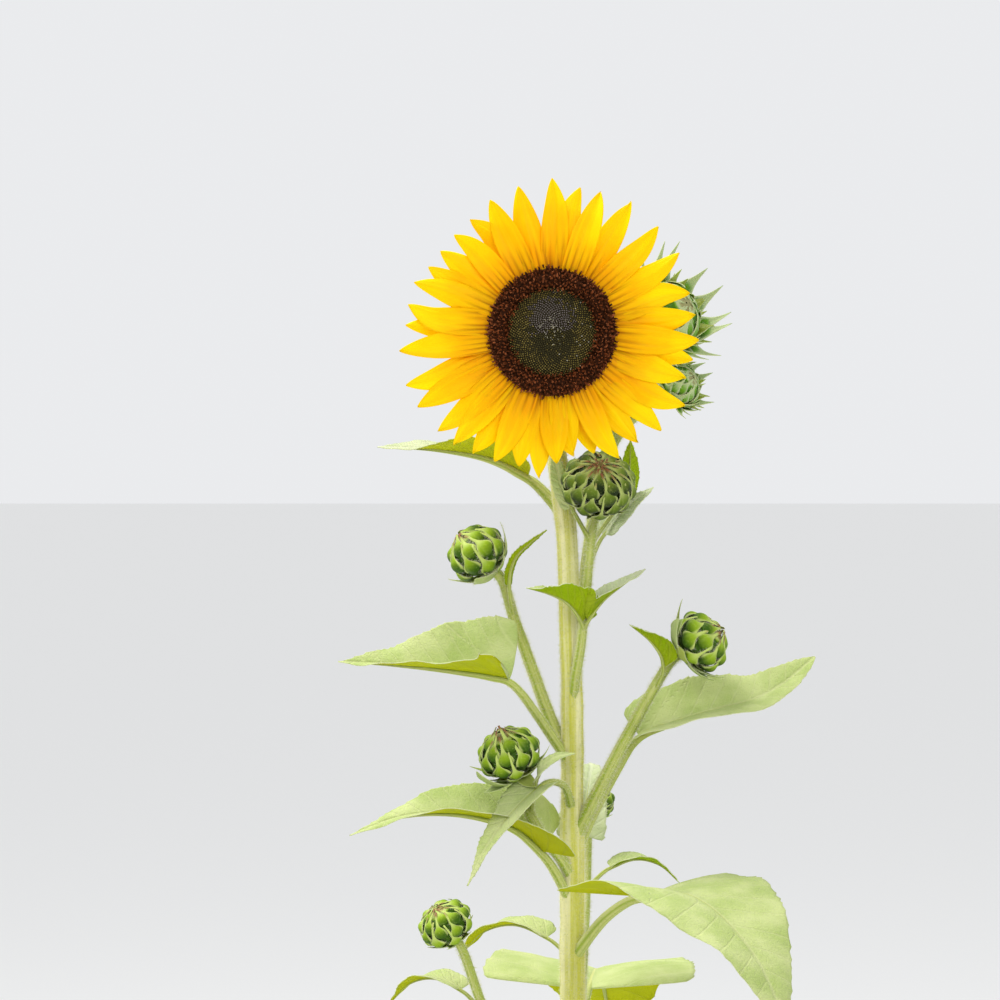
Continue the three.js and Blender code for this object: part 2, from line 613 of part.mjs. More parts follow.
// A shoot in a lower leaf's axil, with its bud and two small leaves
function addShoot({ leaf, length, bud: budRadius }, number) {
  const { foot, turn } = lowerLeaf(leaf);
  const random = stream(40 + number);
  const spot = (out, up, aside = 0) => [
    foot.x + Math.cos(turn) * out - Math.sin(turn) * aside,
    foot.y + Math.sin(turn) * out + Math.cos(turn) * aside,
    foot.z + up,
  ];
  const name = `shoot_${number + 1}`;
  const bend = (random() - 0.5) * 0.1;
  const axis = [
    spot(0, 12),
    spot(length * 0.14, length * 0.25, length * bend),
    spot(length * 0.28, length * 0.5, length * bend * 1.6),
    spot(length * 0.4, length * 0.74, length * bend),
  ];
  const bud = {
    base: spot(length * 0.5, length * 0.95), look: [0.62 * Math.cos(turn), 0.62 * Math.sin(turn), 0.78],
    radius: budRadius, height: budRadius * 1.55, seed: 50 + number,
  };
  addStalk(name, { axis, radii: [4.4, 3], from: 'main_stem' }, bud);
  addBud(`${name}_bud`, bud, 3.4, 7);
  for (const [k, share] of [0.42, 0.7].entries()) {
    const side = k ? -1 : 1;
    const size = length * (k ? 0.3 : 0.42);
    const at = [length * (0.5 * share + 0.02), length * share];
    const leafSpot = (aside, up) => spot(at[0] + aside * 0.35, at[1] + up, side * aside);
    addLeaf(`${name}_leaf_${k + 1}`, {
      line: [
        leafSpot(0, -2), leafSpot(size * 0.28, size * 0.22), leafSpot(size * 0.6, size * 0.34),
        leafSpot(size * 0.9, size * 0.26), leafSpot(size * 1.15, size * 0.02),
      ],
      stalk: 0.3, width: size * 0.5, fold: 20, up: [0, 0, 1], stem: name, small: true,
    });
  }
}

addMainStem();
for (const [name, stalk] of Object.entries(STALKS)) {
  const bud = BUDS[stalk.bud];
  addStalk(name, stalk, bud);
  addBud(stalk.bud, bud, stalk.radii[1] * 1.1, 8);
}
for (const [name, leaf] of Object.entries(LEAVES)) addLeaf(name, leaf);
addFlower();
for (let i = 0; i < LOWER.count; i++) addLeaf(`lower_leaf_${String(i + 1).padStart(2, '0')}`, lowerLeaf(i));
SHOOTS.forEach(addShoot);

export default plant;
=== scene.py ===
"""The looks of a branching sunflower plant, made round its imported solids. Shapes are in millimetres."""
from math import acos, atan2, cos, degrees, hypot, pi, radians, sin, sqrt

import bpy
import numpy as np
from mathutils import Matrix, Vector


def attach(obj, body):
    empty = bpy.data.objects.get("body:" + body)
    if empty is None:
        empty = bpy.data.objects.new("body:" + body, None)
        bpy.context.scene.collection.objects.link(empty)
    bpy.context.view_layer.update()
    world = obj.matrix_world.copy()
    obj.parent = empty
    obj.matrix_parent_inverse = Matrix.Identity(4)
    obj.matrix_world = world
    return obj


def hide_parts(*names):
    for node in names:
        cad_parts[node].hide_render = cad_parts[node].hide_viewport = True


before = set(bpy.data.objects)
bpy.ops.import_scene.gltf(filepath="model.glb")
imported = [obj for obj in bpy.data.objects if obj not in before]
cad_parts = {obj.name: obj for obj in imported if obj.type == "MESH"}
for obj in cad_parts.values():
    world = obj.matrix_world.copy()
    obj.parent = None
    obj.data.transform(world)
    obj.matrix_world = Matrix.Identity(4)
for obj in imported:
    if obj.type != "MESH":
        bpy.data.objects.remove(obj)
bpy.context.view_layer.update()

MM = 0.001
# Degrees from each leaf or scale to the next
GOLDEN_TURN = 137.5
rng = np.random.default_rng(20)
studio = bpy.context.scene


# Named sizes, as in the part's source
STEM_AXIS = [
    (0, 0, 0), (0, 0, 24), (3, -1, 190), (-3, 1, 400), (1, -1, 610), (-6, 1, 830), (-7.5, 0, 1010),
    (-7.8, 0, 1086), (-9, 0, 1122), (-10.2, 0, 1170), (-11.7, 0, 1194), (-14, 1, 1212), (-17, 4, 1234),
    (-19.5, 7, 1256), (-20.5, 6, 1279), (-20.5, -1, 1295),
]
# Heights where stalks and leaves leave the stem
JOINTS = [962, 978, 990, 1002, 1050, 1076, 1196]
STEM_RADII = [(0, 17), (22, 13.4), (70, 12), (500, 10.2), (900, 7.8), (1050, 6.6), (1240, 6.1), (1297, 7.4)]
FLOWER_CENTRE = np.array([-20.5, -48, 1305])
FLOWER_TILT = radians(2)
DISC_RADIUS = 39
DISC_RIM_WIDTH = 13.5
RECEPTACLE_DEPTH = 26
RAY_ROOT_RADIUS = 34
RAY_WIDTH = 15
RAY_LAYERS = (1.1, 2.3, 3.5)
RAYS = [
    (0, 91), (11, 87), (19, 88), (31, 90), (45, 88), (58, 88), (74, 84), (83, 85), (93, 86), (101, 84),
    (109, 83), (119, 89), (132, 86), (142, 82), (152, 84), (161, 75), (170, 74), (178, 77), (185, 86),
    (194, 81), (204, 83), (213, 85), (221, 88), (229, 89), (241, 90), (250, 91), (263, 90), (273, 86),
    (281, 86), (290, 86), (298, 82), (306, 81), (315, 81), (324, 82), (335, 86), (347, 88),
]
# Each bud: the middle of its base, the way it looks, its radius and height, and how far its crown's tuft
# rises or its bracts flare. scales are their number, the angle that a dome takes, and its half width as a
# share of the radius. fuzz is how many hairs each edge of a bract has, and their greatest length.
BUDS = {
    "bud_centre": dict(base=(6.6, -11.8, 1204.4), look=(0.05, -0.72, 0.69), radius=22, height=34,
                       scales=(38, 32, 0.255)),
    "bud_left": dict(base=(-54.5, 15, 1162.7), look=(-0.66, -0.24, 0.71), radius=17.6, height=32, tuft=4,
                     scales=(22, 38, 0.32), fuzz=(80, 3.6)),
    "bud_right": dict(base=(58.4, -4, 1114.3), look=(0.8, -0.3, 0.52), radius=18.2, height=28, tuft=4,
                      scales=(22, 38, 0.32), fuzz=(60, 3)),
    "bud_low": dict(base=(-40.6, -24.6, 1043.5), look=(-0.34, -0.36, 0.87), radius=18.6, height=30, tuft=7),
    "bud_back_high": dict(base=(44, 20.4, 1312.7), look=(0.66, -0.6, 0.45), radius=22, height=28, flare=17),
    "bud_back_low": dict(base=(51.3, 27.8, 1272.7), look=(0.75, -0.55, 0.36), radius=15, height=21,
                         flare=12),
}
STALKS = {
    "stalk_centre": dict(bud="bud_centre", radii=(3.8, 2.7), axis=[
        (-8, 0, 1076), (-6.2, -6, 1098), (-3, -10, 1118), (-0.8, -12, 1138), (2.3, -12, 1170),
        (4, -11, 1186)]),
    "stalk_left": dict(bud="bud_left", radii=(4.6, 3.6), axis=[
        (-7.5, 1, 1050), (-16, 4, 1064), (-23, 7, 1080), (-29.5, 9, 1098), (-36, 12, 1116),
        (-42.5, 15, 1134)]),
    "stalk_right": dict(bud="bud_right", radii=(4.8, 3.4), axis=[
        (-7, 0, 1002), (0, -4, 1016), (7, -7, 1030), (18, -9, 1052), (29.4, -9, 1073), (39.6, -8, 1091)]),
    "stalk_low": dict(bud="bud_low", radii=(4.2, 3.2), axis=[
        (-7, 0, 978), (-15, -10, 992), (-25, -18, 1005), (-33, -22, 1019)]),
    "stalk_back": dict(bud="bud_back_high", radii=(4.8, 3.6), axis=[
        (-8, 0, 1090), (-5, 10, 1112), (-0.5, 16, 1150), (3.5, 18, 1182), (9, 22, 1212), (17, 29, 1248),
        (28, 35, 1282)]),
    "stalk_back_low": dict(bud="bud_back_low", radii=(3.4, 3),
                           axis=[(12, 25, 1226), (20, 31, 1243), (32, 36, 1257)]),
}
# Each leaf: the line of its stalk and midrib, the stalk's share of it, its width, how far each half folds
# up in degrees, the way up at its foot and at its tip, the two powers of its outline, how far each half's
# foot sweeps back, and the midrib's radius. teeth are tooth mm long and pitch mm apart.
LEAVES = {
    "leaf_top_left": dict(
        line=[(-12, 1, 1196), (-25, 10, 1211), (-39, 18, 1223), (-57, 24, 1231), (-87, 34, 1236),
              (-126, 45, 1237.6)],
        stalk=0.26, width=44, fold=(0, 48), up=(0, 0.35, 0.94), up_tip=(0, -0.6, 0.8), outline=(0.45, 1.1),
        rib=3.8, pale=1),
    "leaf_left": dict(
        line=[(-7.6, -1, 1046), (-19, -5, 1063), (-29, -12, 1078), (-39, -18, 1092), (-47, -20, 1099.5),
              (-56, -21, 1102), (-80, -23, 1105.5), (-112, -25, 1108.5), (-147, -27, 1110.5)],
        stalk=0.4, width=80, fold=(48, 50), up=(0, -0.45, 0.89), sweep=(-0.05, -0.18), rib=3.2),
    "leaf_right": dict(
        line=[(-7, 0, 990), (7, 5, 1020), (20, 4, 1044), (29.5, 1, 1060), (37, -2, 1067), (51, -5, 1072.5),
              (75, -8, 1080), (101, -8, 1087), (117, -6, 1095), (138, -3, 1112)],
        stalk=0.42, width=56, fold=(35, 26), up=(-0.12, -0.34, 0.93), up_tip=(-0.12, -0.62, 0.77),
        outline=(0.2, 0.75), sweep=(0, 0.09), rib=3.2),
    "leaf_low_left": dict(
        line=[(-7, 0, 962), (-22, -13, 990), (-40, -22, 1010), (-72, -28, 1020), (-108, -31, 1019),
              (-140, -34, 1008)],
        stalk=0.26, width=70, fold=38, up=(0, -0.3, 0.95), rib=3.4),
    "leaf_behind": dict(
        line=[(-7, 2, 972), (-3, 13, 997), (0, 22, 1015), (3, 36, 1031), (5, 54, 1040), (5, 78, 1041)],
        stalk=0.3, width=30, fold=16, up=(0, -0.5, 0.86), rib=2.8, pale=1),
    "leaf_pair_left": dict(
        line=[(-1.2, -12, 1129), (-4, -19.5, 1137), (-11, -26, 1145.5), (-22, -32, 1151),
              (-35.5, -36, 1154.7)],
        stalk=0.12, width=36, fold=(50, 70), up=(0.1, -0.05, 0.99), outline=(0.16, 1.05), sweep=(-0.3, 0),
        small=1, tooth=1.6, pitch=3.1),
    "leaf_pair_right": dict(
        line=[(-1.2, -12, 1129), (3.5, -17, 1138), (11, -15.5, 1147), (21, -11, 1154.5), (36, -6, 1164.7)],
        stalk=0.12, width=24, fold=(62, 10), up=(0.1, -0.1, 0.99), up_tip=(-0.4, -0.8, 0.5),
        outline=(0.1, 0.9), sweep=(-0.4, 0), small=1, pale=1),
    "leaf_bud_right": dict(
        line=[(42, -8, 1093), (46.5, -13, 1104), (46, -16, 1112), (39, -19, 1122), (26, -21, 1132.2)],
        stalk=0.3, width=22, fold=(28, 78), up=(0.66, -0.2, 0.72), sweep=(0, -0.2), small=1),
    "leaf_bud_left": dict(
        line=[(-42.5, 15, 1134), (-45, 8, 1149), (-45.3, 6, 1161), (-41.5, 5, 1171.5), (-33, 4, 1180),
              (-23, 0, 1188)],
        stalk=0.34, width=6.5, fold=22, up=(-0.5, 0.75, 0.4), small=1),
    "leaf_bud_low": dict(
        line=[(-33, -22, 1019), (-30, -36, 1038), (-27, -44, 1048), (-18, -46, 1055.5), (-7, -42, 1057.5)],
        stalk=0.5, width=10, fold=16, up=(-0.3, -0.55, 0.78), small=1),
    "leaf_low_front": dict(
        line=[(-8, -3, 1022), (-13, -17, 1036), (-24, -31, 1038.5), (-41, -46, 1026), (-58, -57, 1005),
              (-70, -65, 982)],
        stalk=0.36, width=30, fold=22, up=(-0.2, -0.3, 0.93), rib=2.4, pitch=3.2),
    "leaf_centre_back": dict(
        line=[(2, -12, 1166), (9, 3, 1181), (17, 7, 1192), (28, 8, 1203.5), (41.5, 9, 1213.5)],
        stalk=0.4, width=19, fold=12, up=(-0.5, -0.6, 0.62), small=1, pale=1),
    "leaf_centre_left": dict(
        line=[(2.8, -12, 1182), (-4, -10, 1194), (-10.5, -10, 1206), (-16, -12.5, 1221), (-19, -14, 1240)],
        stalk=0.36, width=12, fold=8, up=(-0.3, -0.95, -0.1), small=1),
    "leaf_centre_right": dict(
        line=[(3.5, -11.5, 1180), (12, 3, 1191), (21, 8, 1204), (26, 3, 1221), (27, -7, 1242)],
        stalk=0.4, width=20, fold=14, up=(-0.5, 0.8, 0.1), small=1),
}
BROAD_LEAF = dict(outline=(0.12, 1.2), sweep=0.07, step=1.1, tooth=1.3, pitch=5.2)
SMALL_LEAF = dict(outline=(0.3, 0.95), sweep=0.03, step=0.6, tooth=0.85, pitch=2.5)
FLATTENING = 0.6
LOWER = dict(count=10, highest=930, step=80, first_turn=305, blade_at_ends=150, blade_swell=70,
             width_share=0.72, stalk_share=0.42, fold=14)
# Each shoot: the lower leaf that it grows above, its length, and its bud's radius
SHOOTS = [(1, 165, 15), (2, 190, 16), (3, 200, 14), (5, 185, 13)]
# Above this height the plant stands in the photograph, and its hairs are dense
SEEN_FROM = 940


# Curves and frames
def unit(v):
    v = np.asarray(v, float)
    return v / np.maximum(np.linalg.norm(v, axis=-1, keepdims=True), 1e-9)


def stack(*parts):
    return np.stack(parts, axis=-1)


def table_at(table, x):
    return np.interp(x, *zip(*table))


def smooth(x, low=0.0, high=1.0):
    s = np.clip((np.asarray(x, float) - low) / (high - low), 0, 1)
    return s * s * (3 - 2 * s)


def turns(sides):
    return np.arange(sides) / sides * 2 * pi


def ways_round(sides, first, second):
    """The ways out round each place of a path, from two directions across it."""
    angle = turns(sides)[:, None]
    return np.cos(angle) * first[:, None] + np.sin(angle) * second[:, None]


class Line:
    """A smooth curve through points, read by the share of its length."""

    def __init__(self, points):
        p = np.asarray(points, float)
        n = len(p)
        t = np.linspace(0, n - 1, 100 * (n - 1) + 1)
        i = np.minimum(t.astype(int), n - 2)
        w = (t - i)[:, None]
        q = np.vstack([2 * p[0] - p[1], p, 2 * p[-1] - p[-2]])
        a, b, c, d = (q[i + k] for k in range(4))
        e0, e1, e2 = (np.sqrt(np.linalg.norm(y - x, axis=1))[:, None] for x, y in ((a, b), (b, c), (c, d)))
        m1 = ((b - a) / e0 - (c - a) / (e0 + e1) + (c - b) / e1) * e1
        m2 = ((c - b) / e1 - (d - b) / (e1 + e2) + (d - c) / e2) * e1
        self.spots = b + m1 * w + (3 * c - 3 * b - 2 * m1 - m2) * w**2 + (2 * b - 2 * c + m1 + m2) * w**3
        gone = np.r_[0, np.cumsum(np.linalg.norm(np.diff(self.spots, axis=0), axis=1))]
        self.length = gone[-1]
        self.shares = gone / gone[-1]

    def at(self, share):
        return stack(*(np.interp(share, self.shares, self.spots[:, k]) for k in range(3)))

    def ahead(self, share):
        return unit(self.at(np.clip(share + 0.004, 0, 1)) - self.at(np.clip(share - 0.004, 0, 1)))


def turning_frames(ahead):
    """Two directions across a path that turn with it as little as they can."""
    first = np.cross(ahead[0], (0, 1, 0))
    if np.linalg.norm(first) < 0.3:
        first = np.cross(ahead[0], (1, 0, 0))
    across = [unit(first)]
    for way in ahead[1:]:
        across.append(unit(across[-1] - way * np.dot(across[-1], way)))
    return np.array(across), np.cross(ahead, across)


def turn_to(look):
    """The rotation that takes +Z to look by the shortest way."""
    x, y, z = unit(look)
    k = 1 / (1 + z)
    return np.array([[1 - x * x * k, -x * y * k, x], [-x * y * k, 1 - y * y * k, y], [-x, -y, z]])


# Meshes
def grid(rows, columns, wrap=False):
    """The four-sided faces of a grid of points."""
    i = np.arange(rows - 1)[:, None] * columns
    j = np.arange(columns if wrap else columns - 1)
    k = (j + 1) % columns
    return stack(i + j, i + k, i + columns + k, i + columns + j).reshape(-1, 4)


class Pile:
    """Points, faces and bracts gathered for one joined mesh. Each point holds four numbers, its data."""

    def __init__(self):
        self.points, self.data, self.parts, self.sheets = [], [], {4: [], 3: []}, []
        self.count = 0

    def add(self, points, faces, slot=0, data=(0, 0, 0, 0), maps=None):
        """maps is a pair of numbers for each point, or for each corner of each face."""
        points = np.asarray(points, float).reshape(-1, 3)
        if maps is None:
            maps = np.zeros((len(points), 2))
        if len(maps) == len(points):
            maps = maps[faces].reshape(-1, 2)
        self.parts[faces.shape[1]].append((faces + self.count, np.broadcast_to(slot, len(faces)), maps))
        self.points.append(points)
        self.data.append(np.broadcast_to(np.reshape(data, (-1, 4)), (len(points), 4)))
        self.count += len(points)

    def move(self, mover):
        self.points = [mover(places) for places in self.points]
        self.sheets = [mover(places) for places in self.sheets]

    def build(self, node, materials, slot, flat=False, name=None):
        """Makes the piece, which takes the place of a CAD node unless it has a name of its own."""
        mesh = bpy.data.meshes.new(name or "dressed_" + node)
        faces, slots, maps = zip(*self.parts[4], *self.parts[3])
        sides = np.concatenate([np.full(*f.shape) for f in faces])
        mesh.vertices.add(self.count)
        mesh.vertices.foreach_set("co", (np.concatenate(self.points) * MM).ravel())
        mesh.loops.add(int(sides.sum()))
        mesh.loops.foreach_set("vertex_index", np.concatenate([f.ravel() for f in faces]).astype(np.int32))
        mesh.polygons.add(len(sides))
        mesh.polygons.foreach_set("loop_start", (np.cumsum(sides) - sides).astype(np.int32))
        mesh.update(calc_edges=True)
        mesh.polygons.foreach_set("material_index", np.concatenate(slots).astype(np.int32))
        mesh.polygons.foreach_set("use_smooth", np.full(len(sides), not flat))
        uv = mesh.uv_layers.new(name="flat")
        uv.data.foreach_set("uv", np.concatenate(maps).astype(np.float32).ravel())
        held = mesh.attributes.new("held", "FLOAT_COLOR", "POINT")
        held.data.foreach_set("color", np.concatenate(self.data).astype(np.float32).ravel())
        for material in materials:
            mesh.materials.append(material)
        mesh.update()
        piece = bpy.data.objects.new(mesh.name, mesh)
        studio.collection.objects.link(piece)
        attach(piece, "root")
        if not name:
            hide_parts(node)


def add_sheet(pile, middle, thick, slots, data, maps, relief=0):
    """A thin closed sheet about a grid of points, lifted by relief. slots: its two faces and its rim."""
    rows, columns = middle.shape[:2]
    normal = unit(np.cross(np.gradient(middle, axis=0), np.gradient(middle, axis=1)))
    middle = middle + normal * np.asarray(relief)[..., None]
    half = normal * (np.broadcast_to(thick, (rows, columns))[..., None] / 2)
    n = rows * columns
    lower = grid(rows, columns) + n
    upper = lower[:, ::-1] - n
    index = np.arange(n).reshape(rows, columns)
    edge = np.concatenate([index[0, :-1], index[:-1, -1], index[-1, :0:-1], index[:0:-1, 0]])
    ahead = np.roll(edge, -1)
    rim = stack(edge, ahead, ahead + n, edge + n)
    slot = np.repeat(slots, [len(upper), len(lower), len(rim)])
    pile.add(np.concatenate([middle + half, middle - half]), np.concatenate([upper, lower, rim]), slot,
             np.concatenate([data, data]), np.concatenate([maps, maps]).reshape(-1, 2))


def add_tube(pile, line, radius_at, sides, step, slot, shape, end=1, shift=None):
    """A limb along a line. Returns its skin: the points and the ways out, as two grids."""
    rows = max(int(line.length * end / step), 3) + 1
    share = np.linspace(0, end, rows)
    spots, ahead = line.at(share), line.ahead(share)
    out = ways_round(sides, *turning_frames(ahead))
    if shift:
        spots = spots + shift(share)
    radius = radius_at(share)[:, None] * shape(turns(sides)[None, :], share[:, None] * line.length)
    skin = spots[:, None] + out * radius[..., None]
    faces = grid(rows, sides, wrap=True)
    i, j = np.divmod(np.arange(len(faces))[:, None], sides)
    maps = stack((j + [0, 1, 1, 0]) / sides, (i + [0, 0, 1, 1]) * line.length * end / (rows - 1) / 100)
    pile.add(skin, faces, slot, maps=maps.reshape(-1, 2))
    first = np.arange(sides)
    for ring, flip in ((skin[0], -1), (skin[-1], 1)):
        tris = stack(np.full(sides, sides), first, (first + 1) % sides)[:, ::flip]
        pile.add(np.vstack([ring, ring.mean(axis=0)]), tris, slot)
    return skin, out


def add_turned(pile, radius, height, sides, data=(0, 0, 0, 0), wavy=1, flip=1):
    """The skin of a body turned about +Z, from the radius and the height of each ring."""
    radius = radius[:, None] * wavy
    angle = turns(sides)
    skin = stack(radius * np.cos(angle), radius * np.sin(angle), height[:, None] + 0 * angle)
    pile.add(skin, grid(len(skin), sides, wrap=True)[:, ::flip], 0, data)


# Materials. A colour of three numbers is as it shows on a screen, 0 to 255.
def shown(colour, share=1):
    """A colour as the four numbers that a shader takes, times a share."""
    parts = (((c / 255 + 0.055) / 1.055) ** 2.4 if c > 10 else c / 255 / 12.92 for c in colour)
    return (*(part * share for part in parts), 1)


class Look:
    """A material of nodes. Values and sockets may be mixed freely in each call."""

    def __init__(self, name):
        self.material = bpy.data.materials.new(name)
        self.material.use_nodes = True
        self.tree = self.material.node_tree
        self.tree.nodes.clear()
        self.out = self.tree.nodes.new("ShaderNodeOutputMaterial")

    def node(self, kind, inputs=(), **settings):
        node = self.tree.nodes.new("ShaderNode" + kind)
        for key, value in settings.items():
            setattr(node, key, value)
        for key, value in dict(inputs).items():
            socket = node.inputs[key]
            if isinstance(value, bpy.types.NodeSocket):
                self.tree.links.new(value, socket)
            elif value is not None:
                socket.default_value = shown(value) if socket.type == "RGBA" and len(value) == 3 else value
        return node

    def math(self, operation, a, b):
        return self.node("Math", {0: a, 1: b}, operation=operation).outputs[0]

    def times(self, a, b):
        return self.math("MULTIPLY", a, b)

    def plus(self, a, b):
        return self.math("ADD", a, b)

    def mix(self, share, a, b):
        return self.node("Mix", {0: share, 6: a, 7: b}, data_type="RGBA").outputs[2]

    def band(self, value, low, high, to_low=0.0, to_high=1.0):
        inputs = {0: value, 1: low, 2: high, 3: to_low, 4: to_high}
        return self.node("MapRange", inputs, interpolation_type="SMOOTHSTEP").outputs[0]

    def tint(self, colour, other, value, low, high, share):
        """A colour with a share of another where a value goes from low to high."""
        return self.mix(self.times(self.band(value, low, high), share), colour, other)

    def noise(self, where, scale, detail):
        inputs = {"Vector": where, "Scale": scale, "Detail": detail, "Roughness": 0.55}
        return self.node("TexNoise", inputs).outputs["Fac"]

    def places(self):
        """Where a point is on the object."""
        where = self.node("TexCoord").outputs["Object"]
        return self.node("Mapping", {"Vector": where, "Scale": (1, 1, 1)}).outputs[0]

    def flat(self, across=1, along=1):
        """Where a point is on its sheet or skin, in tenths of a metre, stretched both ways."""
        where = self.node("UVMap", uv_map="flat").outputs[0]
        return self.node("Mapping", {"Vector": where, "Scale": (across, along, 1)}).outputs[0]

    def held(self):
        """The four numbers that each point holds."""
        node = self.node("Attribute", attribute_name="held")
        parts = self.node("SeparateColor", {0: node.outputs["Color"]})
        return [*parts.outputs[:3], node.outputs["Alpha"]]

    def bump(self, height, distance):
        return self.node("Bump", {"Height": height, "Distance": distance}).outputs[0]

    def finish(self, colour, rough, normal=None, through=0, through_colour=None, shine=0.14, sheen=()):
        """Joins the shader. sheen is its weight, roughness and tint."""
        inputs = {"Base Color": colour, "Roughness": rough, "Normal": normal, "Specular IOR Level": shine}
        inputs.update(zip(("Sheen Weight", "Sheen Roughness", "Sheen Tint"), sheen))
        last = self.node("BsdfPrincipled", inputs).outputs[0]
        if through:
            glow = self.node("BsdfTranslucent", {"Color": through_colour, "Normal": normal})
            last = self.node("MixShader", {0: through, 1: last, 2: glow.outputs[0]}).outputs[0]
        self.tree.links.new(last, self.out.inputs[0])
        return self.material


def leaf_look(name, low, high, vein, through, share, sign, sheen, marked):
    """held is, for a leaf: the vein's phase, then three lengths in mm / 100: to the basal vein, to the
    midrib, and between two veins."""
    look = Look(name)
    phase, basal, aside, spacing = look.held()
    lateral = look.times(look.math("PINGPONG", phase, 0.5), look.times(spacing, 100.0))
    lateral = look.band(lateral, 0.1, 0.9, 0.7, 0.0)
    base = look.band(look.times(basal, 100.0), 0.3, 1.2, 1.0, 0.0)
    main = look.band(look.times(aside, 100.0), 0.5, 1.8, 1.0, 0.0)
    veins = look.math("MAXIMUM", look.math("MAXIMUM", lateral, base), main)
    cells = look.node("TexVoronoi", {"Vector": look.flat(), "Scale": 42.0}, feature="DISTANCE_TO_EDGE")
    net = look.band(cells.outputs["Distance"], 0.02, 0.18, 1.0, 0.0)
    broad = look.noise(look.places(), 45.0, 3.0)
    fine = look.noise(look.flat(), 160.0, 4.0)
    colour = look.mix(look.band(broad, 0.3, 0.7), low, high)
    colour = look.tint(colour, vein, fine, 0.4, 0.75, 0.3)
    colour = look.mix(look.times(net, 0.14), colour, vein)
    colour = look.mix(look.times(veins, marked), colour, vein)
    raised = look.plus(veins, look.times(net, 0.35))
    height = look.plus(look.times(raised, sign), look.times(fine, 0.6))
    lit = look.mix(look.times(veins, 0.5), through, shown(through, 0.78))
    lit = look.mix(look.times(net, 0.2), lit, shown(through, 0.85))
    return look.finish(colour, look.band(fine, 0.2, 0.8, 0.55, 0.72), look.bump(height, 0.0005), share, lit,
                       sheen=(sheen, 0.6, (235, 240, 215)))


def stem_look(name, edge, stripe, dark, sheen):
    """Long stripes and fibres along a limb, with fine spots."""
    look = Look(name)
    stripes = look.noise(look.flat(9, 0.5), 1.0, 2.0)
    fibres = look.noise(look.flat(60, 3), 1.0, 3.0)
    spots = look.noise(look.places(), 700.0, 2.0)
    broad = look.noise(look.places(), 30.0, 2.0)
    colour = look.mix(look.band(stripes, 0.38, 0.62), edge, stripe)
    colour = look.tint(colour, edge, fibres, 0.45, 0.7, 0.35)
    colour = look.tint(colour, dark, spots, 0.58, 0.72, 0.45)
    colour = look.tint(colour, dark, broad, 0.5, 0.75, 0.3)
    height = look.plus(fibres, look.times(spots, 0.35))
    return look.finish(colour, look.band(fibres, 0.3, 0.7, 0.5, 0.7), look.bump(height, 0.0005), 0.12,
                       stripe, sheen=(sheen, 0.5, (240, 238, 220)))


def bract_look(name, deep, face, edge, tip, through=0.1, rim=0.68):
    """held is, for a bract: how far along, how far across, a number of its own, and how brown its tip is."""
    look = Look(name)
    along, across, own, brown = look.held()
    fine = look.noise(look.places(), 900.0, 3.0)
    lines = look.noise(look.flat(26, 2), 1.0, 2.0)
    reach = look.plus(along, look.band(own, 0.0, 1.0, -0.05, 0.08))
    # Painted shade: the deep colour at each bract's foot, where it lies beneath the row below
    colour = look.mix(look.band(reach, 0.08, 0.34), deep, face)
    # Paler upper part and tip: partly a paler strap, partly a painted highlight where light falls from above
    colour = look.mix(look.band(reach, 0.29, 0.52, 0.0, 0.75), colour, edge)
    # Pale margins, partly a painted rim highlight
    colour = look.mix(look.band(across, rim, 0.97, 0.0, 0.9), colour, edge)
    colour = look.tint(colour, edge, lines, 0.48, 0.7, 0.3)
    colour = look.tint(colour, edge, fine, 0.54, 0.72, 0.22)
    colour = look.tint(colour, tip, along, 0.72, 0.94, brown)
    height = look.plus(look.times(lines, 0.7), look.times(fine, 0.4))
    return look.finish(colour, look.band(fine, 0.3, 0.7, 0.5, 0.66), look.bump(height, 0.0004), through,
                       face, sheen=(0.08, 0.5, (230, 240, 205)))


def ray_look():
    """held is, for a ray floret: how far along, how far across, a number of its own, and its crease."""
    look = Look("ray_yellow")
    along, _, own, crease = look.held()
    root, middle, tip, shade = (254, 186, 0), (255, 210, 0), (255, 230, 2), (176, 96, 0)
    veins = look.noise(look.flat(34, 1.2), 1.0, 3.0)
    long = look.noise(look.flat(12, 0.7), 1.0, 2.0)
    broad = look.noise(look.places(), 60.0, 2.0)
    reach = look.plus(along, look.band(broad, 0.3, 0.7, -0.1, 0.1))
    reach = look.plus(reach, look.band(own, 0.0, 1.0, -0.14, 0.1))
    colour = look.mix(look.band(reach, 0.0, 0.42), root, middle)
    colour = look.mix(look.band(reach, 0.36, 0.84), colour, tip)
    colour = look.mix(look.times(look.band(long, 0.4, 0.62, 1.0, 0.0), 0.28), colour, root)
    colour = look.tint(colour, tip, veins, 0.52, 0.7, 0.3)
    # Painted shade: darker orange in the creases near each ray's root, where the rays overlap
    colour = look.mix(look.times(crease, look.band(along, 0.06, 0.52, 0.9, 0.0)), colour, shade)
    height = look.plus(veins, look.times(long, 0.8))
    return look.finish(colour, look.band(veins, 0.3, 0.7, 0.42, 0.55), look.bump(height, 0.0006), 0.4,
                       colour, 0.08)


def plain_look(name, colour, rough, through=0, shine=0.3):
    """One base colour, for things so many and so small that their tints are dealt out by piece."""
    look = Look(name)
    grain = look.noise(look.places(), 1400.0, 2.0)
    return look.finish(colour, rough, look.bump(grain, 0.0002), through, colour, shine)


